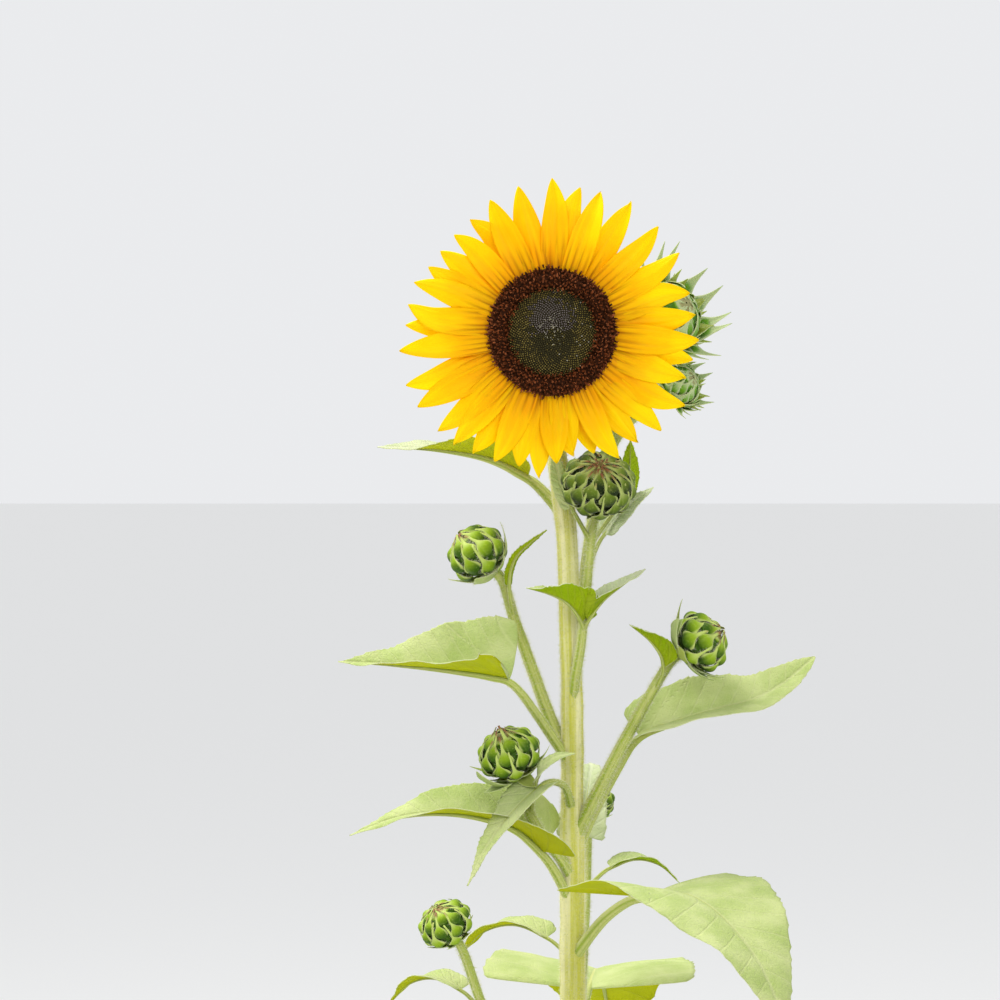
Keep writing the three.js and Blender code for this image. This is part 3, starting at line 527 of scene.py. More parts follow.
LEAF_TOP = leaf_look("leaf_upper", (168, 187, 108), (200, 209, 146), (214, 220, 158), (172, 196, 52), 0.25,
                     -0.8, 0.16, 0.5)
LEAF_PALE = leaf_look("leaf_pale", (176, 190, 140), (204, 210, 172), (222, 226, 196), (176, 198, 90), 0.22,
                      -0.8, 0.3, 0.45)
# Painted glow: the undersides' paler green is pushed to a bright yellow-green, as if light shone through
# them; the small seen leaves' undersides likewise
LEAF_UNDER_GLOW = leaf_look("leaf_under_glow", (204, 204, 0), (222, 218, 12), (222, 222, 84), (210, 212, 0), 0.6,
                       1.0, 0.0, 0.4)
LEAF_YOUNG_GLOW = leaf_look("leaf_young_under_glow", (162, 188, 0), (184, 202, 0), (204, 212, 66), (166, 200, 0), 0.5,
                       1.0, 0.0, 0.4)
LEAF_EDGE = plain_look("leaf_edge", (216, 222, 176), 0.6, 0.3)
STEM = stem_look("stem_green", (238, 233, 180), (204, 203, 80), (156, 160, 50), 0.3)
PETIOLE = stem_look("petiole_green", (204, 208, 128), (154, 176, 40), (132, 148, 46), 0.25)
# In each bract look the first colour, dark at the foot, is painted shade, and the edge colour is partly a
# painted highlight
BRACT, BRACT_INNER, BRACT_PALE, BRACT_LIGHT, BRACT_OPEN = (bract_look("bract_" + n, *rest) for n, *rest in (
    ("green", (20, 36, 2), (96, 118, 26), (176, 188, 108), (132, 84, 54)),
    ("inner", (120, 150, 4), (158, 180, 14), (206, 216, 120), (150, 110, 70), 0.4),
    ("pale", (128, 158, 30), (160, 186, 76), (212, 222, 158), (150, 110, 70), 0.4),
    ("light", (52, 88, 0), (138, 168, 22), (196, 210, 120), (140, 96, 66)),
    ("open", (66, 116, 4), (110, 164, 24), (208, 218, 170), (150, 130, 80), 0.25, 0.5)))
BRACT_EDGE = plain_look("bract_edge", (202, 212, 150), 0.6, 0.2)
RAY = ray_look()
HAIRS = [plain_look("hair_pale", (244, 242, 228), 0.6, 0.5),
         plain_look("hair_green", (226, 228, 192), 0.6, 0.5)]
RIM = [plain_look("rim_" + name, colour, 0.7, 0, shine) for name, colour, shine in (
    ("dark", (60, 29, 10), 0.1), ("maroon", (120, 61, 28), 0.1), ("red", (160, 92, 54), 0.12),
    ("deep", (90, 44, 18), 0.1))]
SEED = [plain_look("seed_" + name, colour, rough, 0, shine) for name, colour, rough, shine in (
    ("dark", (54, 47, 25), 0.7, 0.15), ("grey", (126, 116, 113), 0.6, 0.2),
    ("olive", (123, 109, 53), 0.6, 0.2), ("green", (77, 73, 41), 0.7, 0.15),
    ("gold", (156, 139, 73), 0.6, 0.2), ("pale", (207, 200, 174), 0.5, 0.3))]


# Limbs and hairs
hair = Pile()
STEM_HAIR_RADIUS = 0.1
# The ribs of the main stem's skin stand up to the solid's face
STEM_SKIN_SHARE = 0.98


def close_hair(number):
    """Makes a piece of the hairs gathered so far."""
    global hair
    hair.build("", HAIRS, "stem", True, f"hairs_{number}")
    hair = Pile()


def add_hairs(spots, ways, length, thick):
    """Fine three-sided spikes of two tints that stand on spots."""
    ways = unit(ways)
    n = len(spots)
    tint = rng.integers(0, 2, n)
    first = unit(np.cross(ways, unit(rng.normal(size=(n, 3)))))
    second = np.cross(ways, first)
    base = [spots - ways * 0.15 + (first * cos(a) + second * sin(a)) * thick for a in (0, 2.094, 4.189)]
    points = np.stack([*base, spots + ways * length[:, None]], axis=1)
    k = np.arange(n)[:, None] * 4
    faces = np.concatenate([k + side for side in ((0, 1, 3), (1, 2, 3), (2, 0, 3))])
    hair.add(points, faces, np.tile(tint, 3))


def plant_hairs(skin, out, density, length, along=1.0):
    """Hairs at random over a limb's skin, density to a square millimetre."""
    rows, sides = skin.shape[:2]
    step = np.linalg.norm(skin[1:, 0] - skin[:-1, 0], axis=1)
    girth = np.linalg.norm(skin[:, 0] - skin[:, sides // 2], axis=1) * pi
    area = step * (girth[1:] + girth[:-1]) / 2 * along
    count = rng.poisson(area.sum() * density)
    row = rng.choice(rows - 1, size=count, p=area / area.sum())
    part = rng.random(count)[:, None]
    side = rng.integers(0, sides, count)
    turn = rng.random(count)[:, None]

    def across(places, row):
        return places[row, side] * (1 - turn) + places[row, (side + 1) % sides] * turn

    way = across(out, row) + rng.normal(scale=0.3, size=(count, 3))
    add_hairs(across(skin, row) * (1 - part) + across(skin, row + 1) * part, way,
              length * rng.uniform(0.5, 1.25, count), STEM_HAIR_RADIUS)


def add_fringe(sheet, count, scatter, lengths, thick, ways=None):
    """Hairs at random along both long edges of a sheet."""
    for column, inward in ((0, 1), (-1, -2)):
        row = rng.integers(1, len(sheet) - 2, count)
        way = unit(sheet[row, column] - sheet[row, inward]) if ways is None else ways[row, column]
        way = way + rng.normal(scale=scatter, size=(count, 3))
        add_hairs(sheet[row, column], way, rng.uniform(*lengths, count), thick)


def ribbed(ribs, depth, phase=0.0, bulges=()):
    """The relief round a limb: long ribs that wander a little, and swellings at some places along it."""
    def shape(angle, along):
        drift = 0.5 * np.sin(along / 47 + phase) + 0.3 * np.sin(along / 19)
        ridge = np.cos(ribs * angle + drift) + 0.45 * np.cos((2 * ribs + 3) * angle - drift + phase)
        relief = 1 + depth * ridge + 0.012 * np.sin(along / 23 + 2 * angle)
        relief = relief + 0.006 * np.sin(along / 3.1 + 5 * angle)
        for place, reach, swell in bulges:
            relief = relief + swell * np.exp(-(((along - place) / reach) ** 2))
        return relief
    return shape


def behind_flower(distance):
    return FLOWER_CENTRE + distance * np.array([0, cos(FLOWER_TILT), -sin(FLOWER_TILT)])


def make_stem():
    line = Line([*STEM_AXIS, behind_flower(RECEPTACLE_DEPTH + 10), behind_flower(RECEPTACLE_DEPTH - 1)])

    def heights(share):
        return line.at(share)[..., 2]

    joints = JOINTS + [LOWER["highest"] - LOWER["step"] * i for i in range(LOWER["count"])]
    joints = np.interp(joints, heights(line.shares)[:-60], line.shares[:-60]) * line.length
    pile = Pile()
    bulges = [(joint + 6, 9, 0.07) for joint in joints]
    skin, out = add_tube(pile, line, lambda share: table_at(STEM_RADII, heights(share)) * STEM_SKIN_SHARE,
                         sides=48, step=2.6, slot=0,
                         shape=ribbed(ribs=9, depth=0.022, phase=0.4, bulges=bulges))
    height = line.at(np.linspace(0, 1, len(skin)))[:-1, 2]
    plant_hairs(skin, out, density=0.85, length=1.75, along=np.where(height > 900, 1.0, 0.16))
    pile.build("main_stem", [STEM], "stem")
    return line


STEM_LINE = make_stem()


def stem_at(height):
    """Where the stem's axis is at a height below its bend."""
    z = STEM_LINE.spots[:, 2]
    top = int(np.argmax(z > 1250))
    return STEM_LINE.at(np.interp(height, z[:top], STEM_LINE.shares[:top]))


def make_stalk(name, axis, radii, bud):
    base, look = np.array(bud["base"], float), unit(bud["look"])
    line = Line([*axis, base - look * 7, base + look * 1.5])

    def taper(share):
        foot = 1.2 * np.exp(-((share * line.length / 9) ** 2))
        return (radii[0] + (radii[1] - radii[0]) * share) * 0.84 + foot

    pile = Pile()
    relief = ribbed(ribs=6, depth=0.03, phase=radii[0] * 7, bulges=[(line.length * 0.62, 6, 0.04)])
    skin, out = add_tube(pile, line, taper, sides=30, step=1.2, slot=0, shape=relief)
    plant_hairs(skin, out, density=1.2, length=2.2)
    pile.build(name, [PETIOLE], "stem")


# Leaves
def leaf_shape(b, first, second):
    peak = first / (first + second)
    return b**first * (1 - b) ** second / (peak**first * (1 - peak) ** second)


def make_leaf(name, line, stalk, width, fold, up, rib=1.4, up_tip=None, small=0, pale=0, **own):
    own = {**(SMALL_LEAF if small else BROAD_LEAF), **own}
    step, tooth, pitch = own["step"], own["tooth"], own["pitch"]
    fold, sweep = (both if isinstance(both, tuple) else (both, both) for both in (fold, own["sweep"]))
    line = Line(line)
    up, up_tip = np.array(up, float), np.array(up_tip or up, float)
    length = line.length * (1 - stalk)
    q = np.linspace(-1, 1, 2 * int(width / step / 4.4) + 1)
    b = np.linspace(0, 1, int(length / step) + 1) ** 1.25
    bb, qq = np.meshgrid(b, 0.5 * q + 0.5 * np.sin(q * pi / 2), indexing="ij")
    half = np.maximum(width / 2 * leaf_shape(bb, *own["outline"]) * smooth(bb, -0.008, 0.03), 0.5)
    rise = np.radians(np.where(qq < 0, *fold)) * (1 - FLATTENING * bb**2)
    back = np.where(qq < 0, *sweep) * length * qq**2 * np.minimum(half * 2 / width, 1)
    back = back * (1 - smooth(bb, 0.02, 0.27))
    at = stalk + bb * (1 - stalk)
    phase = rng.uniform(0, 6.28, 4)

    def teeth(side):
        run = bb * length / pitch + phase[side] + 0.35 * np.sin(bb * 23 + phase[side])
        size = 0.7 + 0.3 * np.sin(bb * 31 + phase[3 - side])
        return tooth * (run % 1) ** 1.5 * size * smooth(bb, 0.0, 0.06) * smooth(1 - bb, 0.0, 0.1)

    def frame_at(share, ahead):
        """The ways to the side and up at shares of the line."""
        side = unit(np.cross(up + (up_tip - up) * share[..., None], ahead))
        return side, np.cross(ahead, side)

    out = np.abs(qq) * half + np.where(qq < 0, teeth(0), teeth(1)) * np.abs(qq) ** 9
    centre, ahead = line.at(at), line.ahead(at)
    side, above = frame_at(at, ahead)
    sway = np.where(qq < 0, np.sin(bb * 13 + phase[0]), np.sin(bb * 11 + phase[1]))
    ruffle = np.where(qq < 0, np.sin(bb * 31 + phase[2]), np.sin(bb * 27 + phase[3]))
    waves = width * (0.02 * sway + 0.008 * ruffle) * np.abs(qq) ** 2.5
    waves = waves * smooth(bb, 0, 0.15) * smooth(1 - bb, 0, 0.2)
    lift = out * np.sin(rise) - 0.1 * half * qq**2 + waves
    middle = centre - ahead * back[..., None] + side * (np.sign(qq) * out * np.cos(rise))[..., None] \
        + above * lift[..., None]

    # Two veins rise from the foot and others leave the midrib, and the blade swells between them
    along = bb * length - back
    spacing = max(length / 9.5, 4.5)
    lean = radians(50)
    track = (along - out * cos(lean) / sin(lean) + 0.006 * out**2) / spacing + np.where(qq < 0, 0.0, 0.4)
    basal = np.abs((along + 0.01 * length) * sin(0.6) - out * cos(0.6)) + 4 * smooth(bb, 0.55, 0.8)
    lateral = np.minimum(track % 1, 1 - track % 1) * spacing * sin(lean)
    near = np.minimum(np.minimum(lateral, basal), out)
    relief = (0.1 + 0.024 * spacing) * (1 - np.exp(-((near / 2.4) ** 2))) * smooth(1 - np.abs(qq), 0, 0.3)
    data = stack(track, basal / 100, out / 100, np.full_like(out, spacing * sin(lean) / 100))
    pile = Pile()
    add_sheet(pile, middle, 0.45, (0, 1, 3), data, stack(np.sign(qq) * out / 100, along / 100), relief)

    # The stalk, which runs on as the midrib below the blade
    def thick(share):
        blade = np.clip((share - stalk) / (1 - stalk), 0, 1)
        foot = 0.3 * rib * np.exp(-((share * line.length / 5) ** 2))
        return rib * (1 - 0.3 * np.minimum(share / stalk, 1)) * (1 - blade) ** 1.1 + foot + 0.12

    def below(share):
        blade = smooth((share - stalk) / (1 - stalk), -0.08, 0.1)
        return frame_at(share, line.ahead(share))[1] * (-0.72 * thick(share) * blade)[:, None]

    skin, ways = add_tube(pile, line, thick, sides=12 if small else 16, step=1.6, slot=2,
                          shape=ribbed(ribs=3, depth=0.05, phase=phase[2]), end=0.985, shift=below)
    seen = line.spots[0, 2] > SEEN_FROM
    # Both underside looks carry a painted glow of light shining through
    under = LEAF_YOUNG_GLOW if small and seen else LEAF_UNDER_GLOW
    pile.build(name, [LEAF_PALE if pale else LEAF_TOP, under, PETIOLE, LEAF_EDGE], "leaf")
    last = int(len(skin) * stalk) + 1
    plant_hairs(skin[:last], ways[:last], density=1.0 if seen else 0.25, length=1.25)
    add_fringe(middle, count=int(length * (7 if seen else 1.5)), scatter=0.45, lengths=(0.3, 1.0), thick=0.06,
               ways=side * np.sign(qq)[..., None] + above * 0.3)


def place_outward(foot, turn):
    """A way of naming places by how far out, up and aside they are from a foot on the stem."""
    def spot(out, up, aside=0.0):
        x, y = cos(turn) * out - sin(turn) * aside, sin(turn) * out + cos(turn) * aside
        return foot + np.array([x, y, up])
    return spot


def lower_leaf(i):
    foot = stem_at(LOWER["highest"] - LOWER["step"] * i)
    turn = radians(LOWER["first_turn"] + GOLDEN_TURN * i)
    blade = LOWER["blade_at_ends"] + LOWER["blade_swell"] * sin(pi * (i + 1) / (LOWER["count"] + 1))
    stalk = blade * LOWER["stalk_share"]
    spot = place_outward(foot, turn)
    line = [spot(0, 0), spot(stalk * 0.5, stalk * 0.42)]
    line += [spot(stalk * 0.95 + blade * out, stalk * 0.62 + blade * up) for out, up in (
        (0, 0), (0.3, 0.03), (0.62, -0.13), (0.84, -0.42))]
    return dict(line=line, stalk=0.33, width=blade * LOWER["width_share"], fold=LOWER["fold"],
                up=(0.35 * cos(turn), 0.35 * sin(turn), 0.94), rib=3.6), turn, foot


# Buds
# A closed bud is covered in scales that follow the golden angle up its sides. Each is a round dome, then a
# narrow tip that runs on to the crown. Angles go up from the stalk, in degrees. Widths and distances are
# shares of the largest, for places along a bract.
SCALES = dict(lowest=30, highest=132)
SCALE_WIDTHS = [(0, 0.7), (0.2, 0.95), (0.4, 1), (0.55, 0.93), (0.68, 0.74), (0.8, 0.5), (0.92, 0.32),
                (1.1, 0.2), (1.5, 0.13), (2.6, 0.085), (5, 0.04)]
SCALE_DISTANCES = [(0, 0.82), (0.25, 0.92), (0.5, 0.95), (0.8, 0.955), (1.1, 0.955), (2, 0.985), (5, 1.04)]
STAR_WIDTHS = [(0, 0.75), (0.12, 0.95), (0.28, 1.0), (0.4, 0.84), (0.5, 0.58), (0.6, 0.36), (0.72, 0.2),
               (0.86, 0.11), (1, 0.02)]
OPEN_WIDTHS = [(0, 0.6), (0.15, 0.92), (0.32, 1), (0.46, 0.9), (0.58, 0.62), (0.68, 0.36), (0.8, 0.19),
               (0.92, 0.09), (1, 0.02)]
LEAFY_WIDTHS = [(0, 0.5), (0.2, 0.82), (0.45, 1), (0.65, 0.88), (0.85, 0.5), (1, 0.1)]
BRACT_THICKNESS = 0.9
# Rows of bracts, from the outside in: how many, their turn as a share of the gap between two, the angle up
# the bud where they start and end, their distance from its middle at both, half width as a share of its
# radius, and how far their tips stand off
LOOSE_ROW = [(6, 0.3, 12, 60, 1.0, 1.1, 0.25, 0.1)]
OPEN_ROWS = [
    (7, 0.0, 28, 96, 0.97, 1.1, 0.36, 0.5), (8, 0.5, 45, 112, 0.92, 1.08, 0.36, 0.45),
    (8, 0.2, 62, 128, 0.88, 1.06, 0.32, 0.3), (8, 0.6, 80, 152, 0.84, 0.98, 0.28, 0.06),
    (7, 0.1, 100, 166, 0.8, 0.94, 0.25, 0.0), (6, 0.5, 122, 176, 0.76, 0.92, 0.22, 0.0),
]
# Loose bracts of a closed bud: the way that each leans, the angles where it starts and ends, its distance
# there, half width, how far its tip stands off, and its kind: 0 narrow, 1 broad and pale, 2 broad
LOOSE = {
    "bud_left": [((-0.45, -0.8, -0.3), 8, 70, 1.02, 1.2, 0.44, 0.06, 1),
                 ((-0.9, 0.1, -0.5), 24, 88, 1.0, 1.25, 0.26, 0.1, 0),
                 ((0.4, -0.2, 0.9), 40, 104, 1.0, 1.2, 0.26, 0.15, 0)],
    "bud_low": [((0.55, -0.8, -0.3), 6, 40, 1.0, 1.6, 0.26, 0.0, 2),
                ((-0.8, -0.5, -0.1), 10, 56, 1.0, 1.5, 0.3, 0.1, 1),
                ((-0.75, -0.65, 0), 20, 100, 1.12, 1.26, 0.36, 0.14, 1),
                ((-0.9, 0.1, 0.3), 30, 80, 1.0, 1.3, 0.24, 0.15, 0),
                ((0.9, -0.2, 0.2), 30, 84, 1.0, 1.25, 0.24, 0.1, 0)],
    "bud_right": [((-0.4, -0.75, 0.5), 10, 96, 1.0, 1.4, 0.4, 0.3, 1),
                  ((-0.5, 0.3, 0.8), 30, 96, 1.0, 1.35, 0.24, 0.2, 0),
                  ((-0.1, -0.9, 0.1), 4, 66, 1.0, 1.14, 0.52, 0.06, 2),
                  ((0.1, -0.7, 0.7), 30, 100, 1.0, 1.3, 0.22, 0.2, 1),
                  ((0.3, -0.4, -0.9), 12, 80, 1.0, 1.3, 0.38, 0.12, 1),
                  ((0.7, -0.4, -0.6), 30, 98, 1.0, 1.25, 0.24, 0.2, 1)],
}
LOOSE_KINDS = [(STAR_WIDTHS, (1, 0, 2)), (LEAFY_WIDTHS, (3, 3, 2)), (LEAFY_WIDTHS, (1, 1, 2))]
# Long bracts of the buds behind the flower: the way from the bud's middle to each tip
REACHING = {
    "bud_back_high": [(-4, 5, 43), (4, 6, 43), (22, 15, 27), (32, 15, 15), (36, 10, -1), (36, 5, -7),
                      (28, -5, -27), (20, -12, -29), (-18, -2, 34), (-28, -14, 16), (-30, -26, -4),
                      (-22, -34, -22), (2, -32, -34)],
    "bud_back_low": [(19, 8, 7), (20, 5, -11), (11, -5, -16), (2, -18, -22), (-14, -24, -14), (-22, -16, 2),
                     (-16, -2, 18), (4, 8, 20), (14, 12, 14)],
}


def add_bract(pile, turn, spots, width, share, own, brown, cup, aside, columns=9, slots=(1, 0, 2)):
    """A bract on a round body about +Z: spots are (radius, height) up its middle and width is half its
    width, for a row of places along it. share is what the colours take for how far along. Its tip bends
    aside at random."""
    v, q = np.linspace(0, 1, len(spots))[:, None], np.linspace(-1, 1, columns)
    ahead = np.gradient(spots, axis=0)
    facing = unit(stack(ahead[:, 1], -ahead[:, 0]))
    s = width[:, None] * q + rng.uniform(-aside, aside) * np.maximum(v - 0.5, 0) ** 2
    bend = s**2 / (2 * np.maximum(spots[:, :1], width.max() * 1.3))
    push = -bend * 0.9 + width[:, None] * (cup * 0.5 * (1 - q**2) + 0.12 * np.abs(q) ** 6)
    r = spots[:, :1] + facing[:, :1] * push
    z = spots[:, 1:] + facing[:, 1:] * push
    middle = stack(r * cos(turn) - s * sin(turn), r * sin(turn) + s * cos(turn), z)
    vv, qq = v + 0 * q, q + 0 * v
    # How far along sets the painted shade at a bract's foot and the partly painted highlight higher up
    data = stack(share[:, None] + 0 * vv, np.abs(qq), np.full_like(vv, own), np.full_like(vv, brown))
    maps = stack(qq * width.max() / 100, vv * 2 * width.max() / 100)
    add_sheet(pile, middle, BRACT_THICKNESS * (1 - 0.75 * vv), slots, data, maps)
    pile.sheets.append(middle)


def profile(radius, height, polar, scale):
    """Places up a bud's side, as (radius, height), for angles and for shares of its size."""
    polar = np.radians(polar)
    return stack(radius * scale * np.sin(polar), height / 2 * (1 - scale * np.cos(polar)))


def add_scales(pile, radius, height, tuft, count, dome, half):
    """The scales of a closed bud."""
    v = np.linspace(0, 1, 21 if tuft > 2 or radius > 18 else 14) ** 1.3
    low, high = (cos(radians(SCALES[end])) for end in ("lowest", "highest"))
    for n in range(count):
        t = n / (count - 1)
        start = degrees(acos(low + (high - low) * t)) + rng.uniform(-2, 2)
        end = 178 - 62 * (1 - t) ** 1.6 + rng.uniform(-3, 1)
        polar = start + (end - start) * v
        u = (polar - start) / dome
        middle = sin(radians(min(start + dome / 2, 150)))
        width = radius * half * (0.62 + 0.38 * middle) * rng.uniform(0.94, 1.1) * table_at(SCALE_WIDTHS, u)
        distance = table_at(SCALE_DISTANCES, u) * (1 - 0.08 * t) + rng.uniform(-0.012, 0.012)
        rising = np.clip((polar - 150) / 28, 0, 1) ** 1.5 * rng.uniform(0.5, 1.0)
        spots = profile(radius, height, polar, distance) + stack(-0.03 * tuft * rising, tuft * rising)
        strap = max(end - start - dome, 24 - 2 * tuft)
        share = np.where(u < 1, 0.42 * u, 0.42 + 0.58 * np.clip((polar - start - dome) / strap, 0, 1))
        turn = radians(n * GOLDEN_TURN + rng.uniform(-5, 5))
        add_bract(pile, turn, spots, width, share, own=rng.random(), brown=min(1.0, 2.2 * max(t - 0.15, 0)),
                  cup=0.95, aside=6)


def add_rows(pile, rows, radius, height, flare):
    """Rows of bracts with free tips."""
    v = np.linspace(0, 1, 19)
    for number, gap, start, end, near, far, half, lift in rows:
        for k in range(number):
            turn = (k + gap + rng.uniform(-0.1, 0.1)) / number * 2 * pi
            last = end + rng.uniform(-5, 5)
            depth = near + rng.uniform(-0.02, 0.02) + (far - near) * v**2
            spread = flare * lift * np.maximum((v - 0.3) / 0.7, 0) ** 1.4 * rng.uniform(0.6, 1.0)
            spots = profile(radius, height, start + (last - start) * v, depth) + stack(spread, spread * 0.2)
            width = radius * half * rng.uniform(0.9, 1.1) * table_at(STAR_WIDTHS, v)
            brown = 0.3 if lift < 0.1 else 0
            add_bract(pile, turn, spots, width, share=v * 0.5 + 0.12, own=rng.random(), brown=brown, cup=0.5,
                      aside=9)


def add_loose(pile, bracts, turn_matrix, radius, height):
    """Bracts that stand off a closed bud one by one."""
    v = np.linspace(0, 1, 24)
    for toward, start, end, near, far, half, lift, kind in bracts:
        way = np.array(toward) @ turn_matrix
        spread = radius * lift * np.maximum((v - 0.4) / 0.6, 0) ** 1.5
        spots = profile(radius, height, start + (end - start) * v, near + (far - near) * v**1.5)
        widths, slots = LOOSE_KINDS[kind]
        add_bract(pile, atan2(way[1], way[0]), spots + stack(spread, spread * 0.1),
                  width=radius * half * table_at(widths, v), share=0.2 + 0.5 * v, own=0.9, brown=0, cup=0.4,
                  aside=6, slots=slots)


def add_reaching(pile, tips, turn_matrix, radius, height):
    """Long bracts of an open bud, each drawn out to its own tip."""
    v = np.linspace(0, 1, 22)
    for tip in tips:
        way = np.array(tip) @ turn_matrix
        out, up = hypot(way[0], way[1]), way[2] + height / 2
        start = profile(radius, height, [24, 48, 70], np.array([0.95, 1.04, 1.08]))
        path = Line([*((r, 0, z) for r, z in start),
                     ((start[2, 0] + out) / 2 + 0.6, 0, (start[2, 1] + up) / 2 - 0.8), (out, 0, up)])
        add_bract(pile, atan2(way[1], way[0]), path.at(v)[:, [0, 2]],
                  width=radius * 0.36 * table_at(OPEN_WIDTHS, v),
                  share=0.1 + 0.22 * v + 0.6 * smooth(v, 0.5, 0.85), own=rng.random(), brown=0, cup=0.4,
                  aside=8, columns=11, slots=(0, 0, 2))


def make_bud(name, base, look, radius, height, flare=0.0, tuft=2.0, scales=(26, 34, 0.28), fuzz=(26, 1.9)):
    turn_matrix = turn_to(look)
    pile = Pile()
    polar = np.linspace(2, 178, 12)
    core = profile(radius, height, polar, 0.85)
    crowned = (polar > 152)[:, None] + np.zeros(20)
    # Painted shade: the core below the scales takes the dark colour of a bract's foot, so the gaps between
    # scales look dark; its crown is brown
    add_turned(pile, core[:, 0], core[:, 1], 20,
               stack(0.13 + 0.75 * crowned, 0.2 + 0 * crowned, 0.1 + 0 * crowned, 0.8 * crowned))
    if flare:
        add_rows(pile, OPEN_ROWS, radius, height, flare)
        add_reaching(pile, REACHING[name], turn_matrix, radius, height)
    else:
        add_scales(pile, radius, height, tuft, *scales)
        add_rows(pile, LOOSE_ROW, radius, height, radius * 0.5)
        add_loose(pile, LOOSE.get(name, ()), turn_matrix, radius, height)
    green = BRACT_OPEN if flare else BRACT if name == "bud_centre" else BRACT_LIGHT
    pile.move(lambda places: places @ turn_matrix.T + base)
    pile.build(name, [green, BRACT_INNER, BRACT_EDGE, BRACT_PALE], "bract")
    for sheet in pile.sheets:
        add_fringe(sheet, count=fuzz[0], scatter=0.5, lengths=(0.4, fuzz[1]), thick=0.055)


# The open flower, in a frame of its own where it faces +Z
FLOWER_TURN = np.array([[1, 0, 0], [0, sin(FLOWER_TILT), -cos(FLOWER_TILT)],
                        [0, cos(FLOWER_TILT), sin(FLOWER_TILT)]])
DISC_INNER = DISC_RADIUS - DISC_RIM_WIDTH
# How close the florets stand in the middle and in the rim
SEED_GAP = 0.72
RIM_GAP = 0.92
# Heights over the distance from the flower's axis: the dome of the disc, and the crest of its rim and how
# far the florets there tilt outwards
DOME = [(0, 8.2), (4, 8.9), (9, 9.2), (16, 8.2), (25, 6.4), (27, 5.8)]
CREST = [(25, 6.2), (27.5, 8.6), (32, 9.6), (35, 8.4), (37.5, 5.6)]
TILT = [(25, -0.5), (28, -0.15), (32, 0.3), (35.5, 0.9), (37.5, 1.5)]
# Rows of bracts behind the flower: how many, the radius and height where each leaves the body and where it
# bends outwards, how far it reaches, and half its width
BEHIND_ROWS = [(16, 17, -23.5, 36, -13, 56, 5.0), (20, 24, -18.5, 40, -8.5, 64, 5.6),
               (18, 31, -12.5, 41, -5, 60, 5.2)]


def to_flower(points):
    """From the flower's own frame, where it faces +Z, to the plant's."""
    return points @ FLOWER_TURN.T + FLOWER_CENTRE


def ray_shape(v):
    low = 0.74 + 0.26 * np.sin(np.minimum(v, 0.45) / 0.45 * pi / 2)
    high = np.cos(np.clip((v - 0.45) / 0.55, 0, 1) * pi / 2) ** 0.72
    return np.where(v < 0.45, low, np.maximum(high, 0.03))


def make_rays():
    pile = Pile()
    vv, qq = np.meshgrid(np.linspace(0, 1, 34) ** 0.85, np.linspace(-1, 1, 23), indexing="ij")
    for i, (clock, reach) in enumerate(RAYS):
        turn = radians(clock)
        layer = RAY_LAYERS[i % 3]
        bend = layer - 4 * cos(turn)
        own = rng.random()

        def spot(share, h, swing=0.0):
            r = RAY_ROOT_RADIUS - 4 * (share == 0) + (reach - RAY_ROOT_RADIUS) * share
            return r * sin(turn + swing), r * cos(turn + swing), h

        swing = rng.normal(scale=0.03)
        line = Line([spot(0, layer), spot(0.35, layer + 1.2, swing),
                     spot(0.7, layer + bend * 0.35 + rng.normal(scale=0.8), swing),
                     spot(1, bend + 1 + rng.normal())])
        half = RAY_WIDTH / 2 * rng.uniform(1.0, 1.18)
        rise = radians((9 - 18 * (i % 2)) * rng.uniform(0.6, 1.7)) * np.minimum(vv / 0.3, 1)
        aside = qq * half * ray_shape(vv)
        teeth = rng.choice((0.0, 0.6, 2.2), p=(0.45, 0.25, 0.3))
        notch = teeth * (np.cos(qq * 2.6 + rng.uniform(-0.8, 0.8)) ** 2 - 1) * smooth(vv, 0.8, 1)
        centre, ahead = line.at(vv), line.ahead(vv)
        side = unit(np.cross((0, 0, 1), ahead))
        twist = rng.normal(scale=0.28) * smooth(vv, 0.25, 1)
        phase = rng.uniform(-0.6, 0.6)
        wander = 0.5 * np.sin(vv * rng.uniform(2, 5) + own * 9)
        ridges = 0.55 * np.cos(qq * rng.uniform(10, 17) + phase + wander) \
            + 0.3 * np.cos(qq * rng.uniform(19, 28) + own * 6 - wander) \
            + 0.2 * np.cos(qq * rng.uniform(30, 40) + own * 17)
        cupped = 0.1 * half * rng.uniform(-1, 1.4) * np.cos(qq * pi / 2) * smooth(vv, 0.1, 0.5)
        lift = np.abs(aside) * np.sin(rise) + aside * np.sin(twist) \
            + ridges * (0.1 + 0.34 * smooth(1 - vv, 0.2, 0.9)) * smooth(1 - vv, 0, 0.2) + cupped
        middle = centre + side * (aside * np.cos(rise))[..., None] \
            + np.cross(ahead, side) * lift[..., None] + ahead * notch[..., None]
        data = stack(vv, np.abs(qq), np.full_like(vv, own), smooth(-ridges, -0.2, 0.8))
        maps = stack(qq * half / 100 + i * 0.37, vv * (reach - RAY_ROOT_RADIUS) / 100 + i * 0.13)
        add_sheet(pile, to_flower(middle), thick=0.35, slots=(0, 0, 0), data=data, maps=maps)
    pile.build("ray_florets", [RAY], "ray")


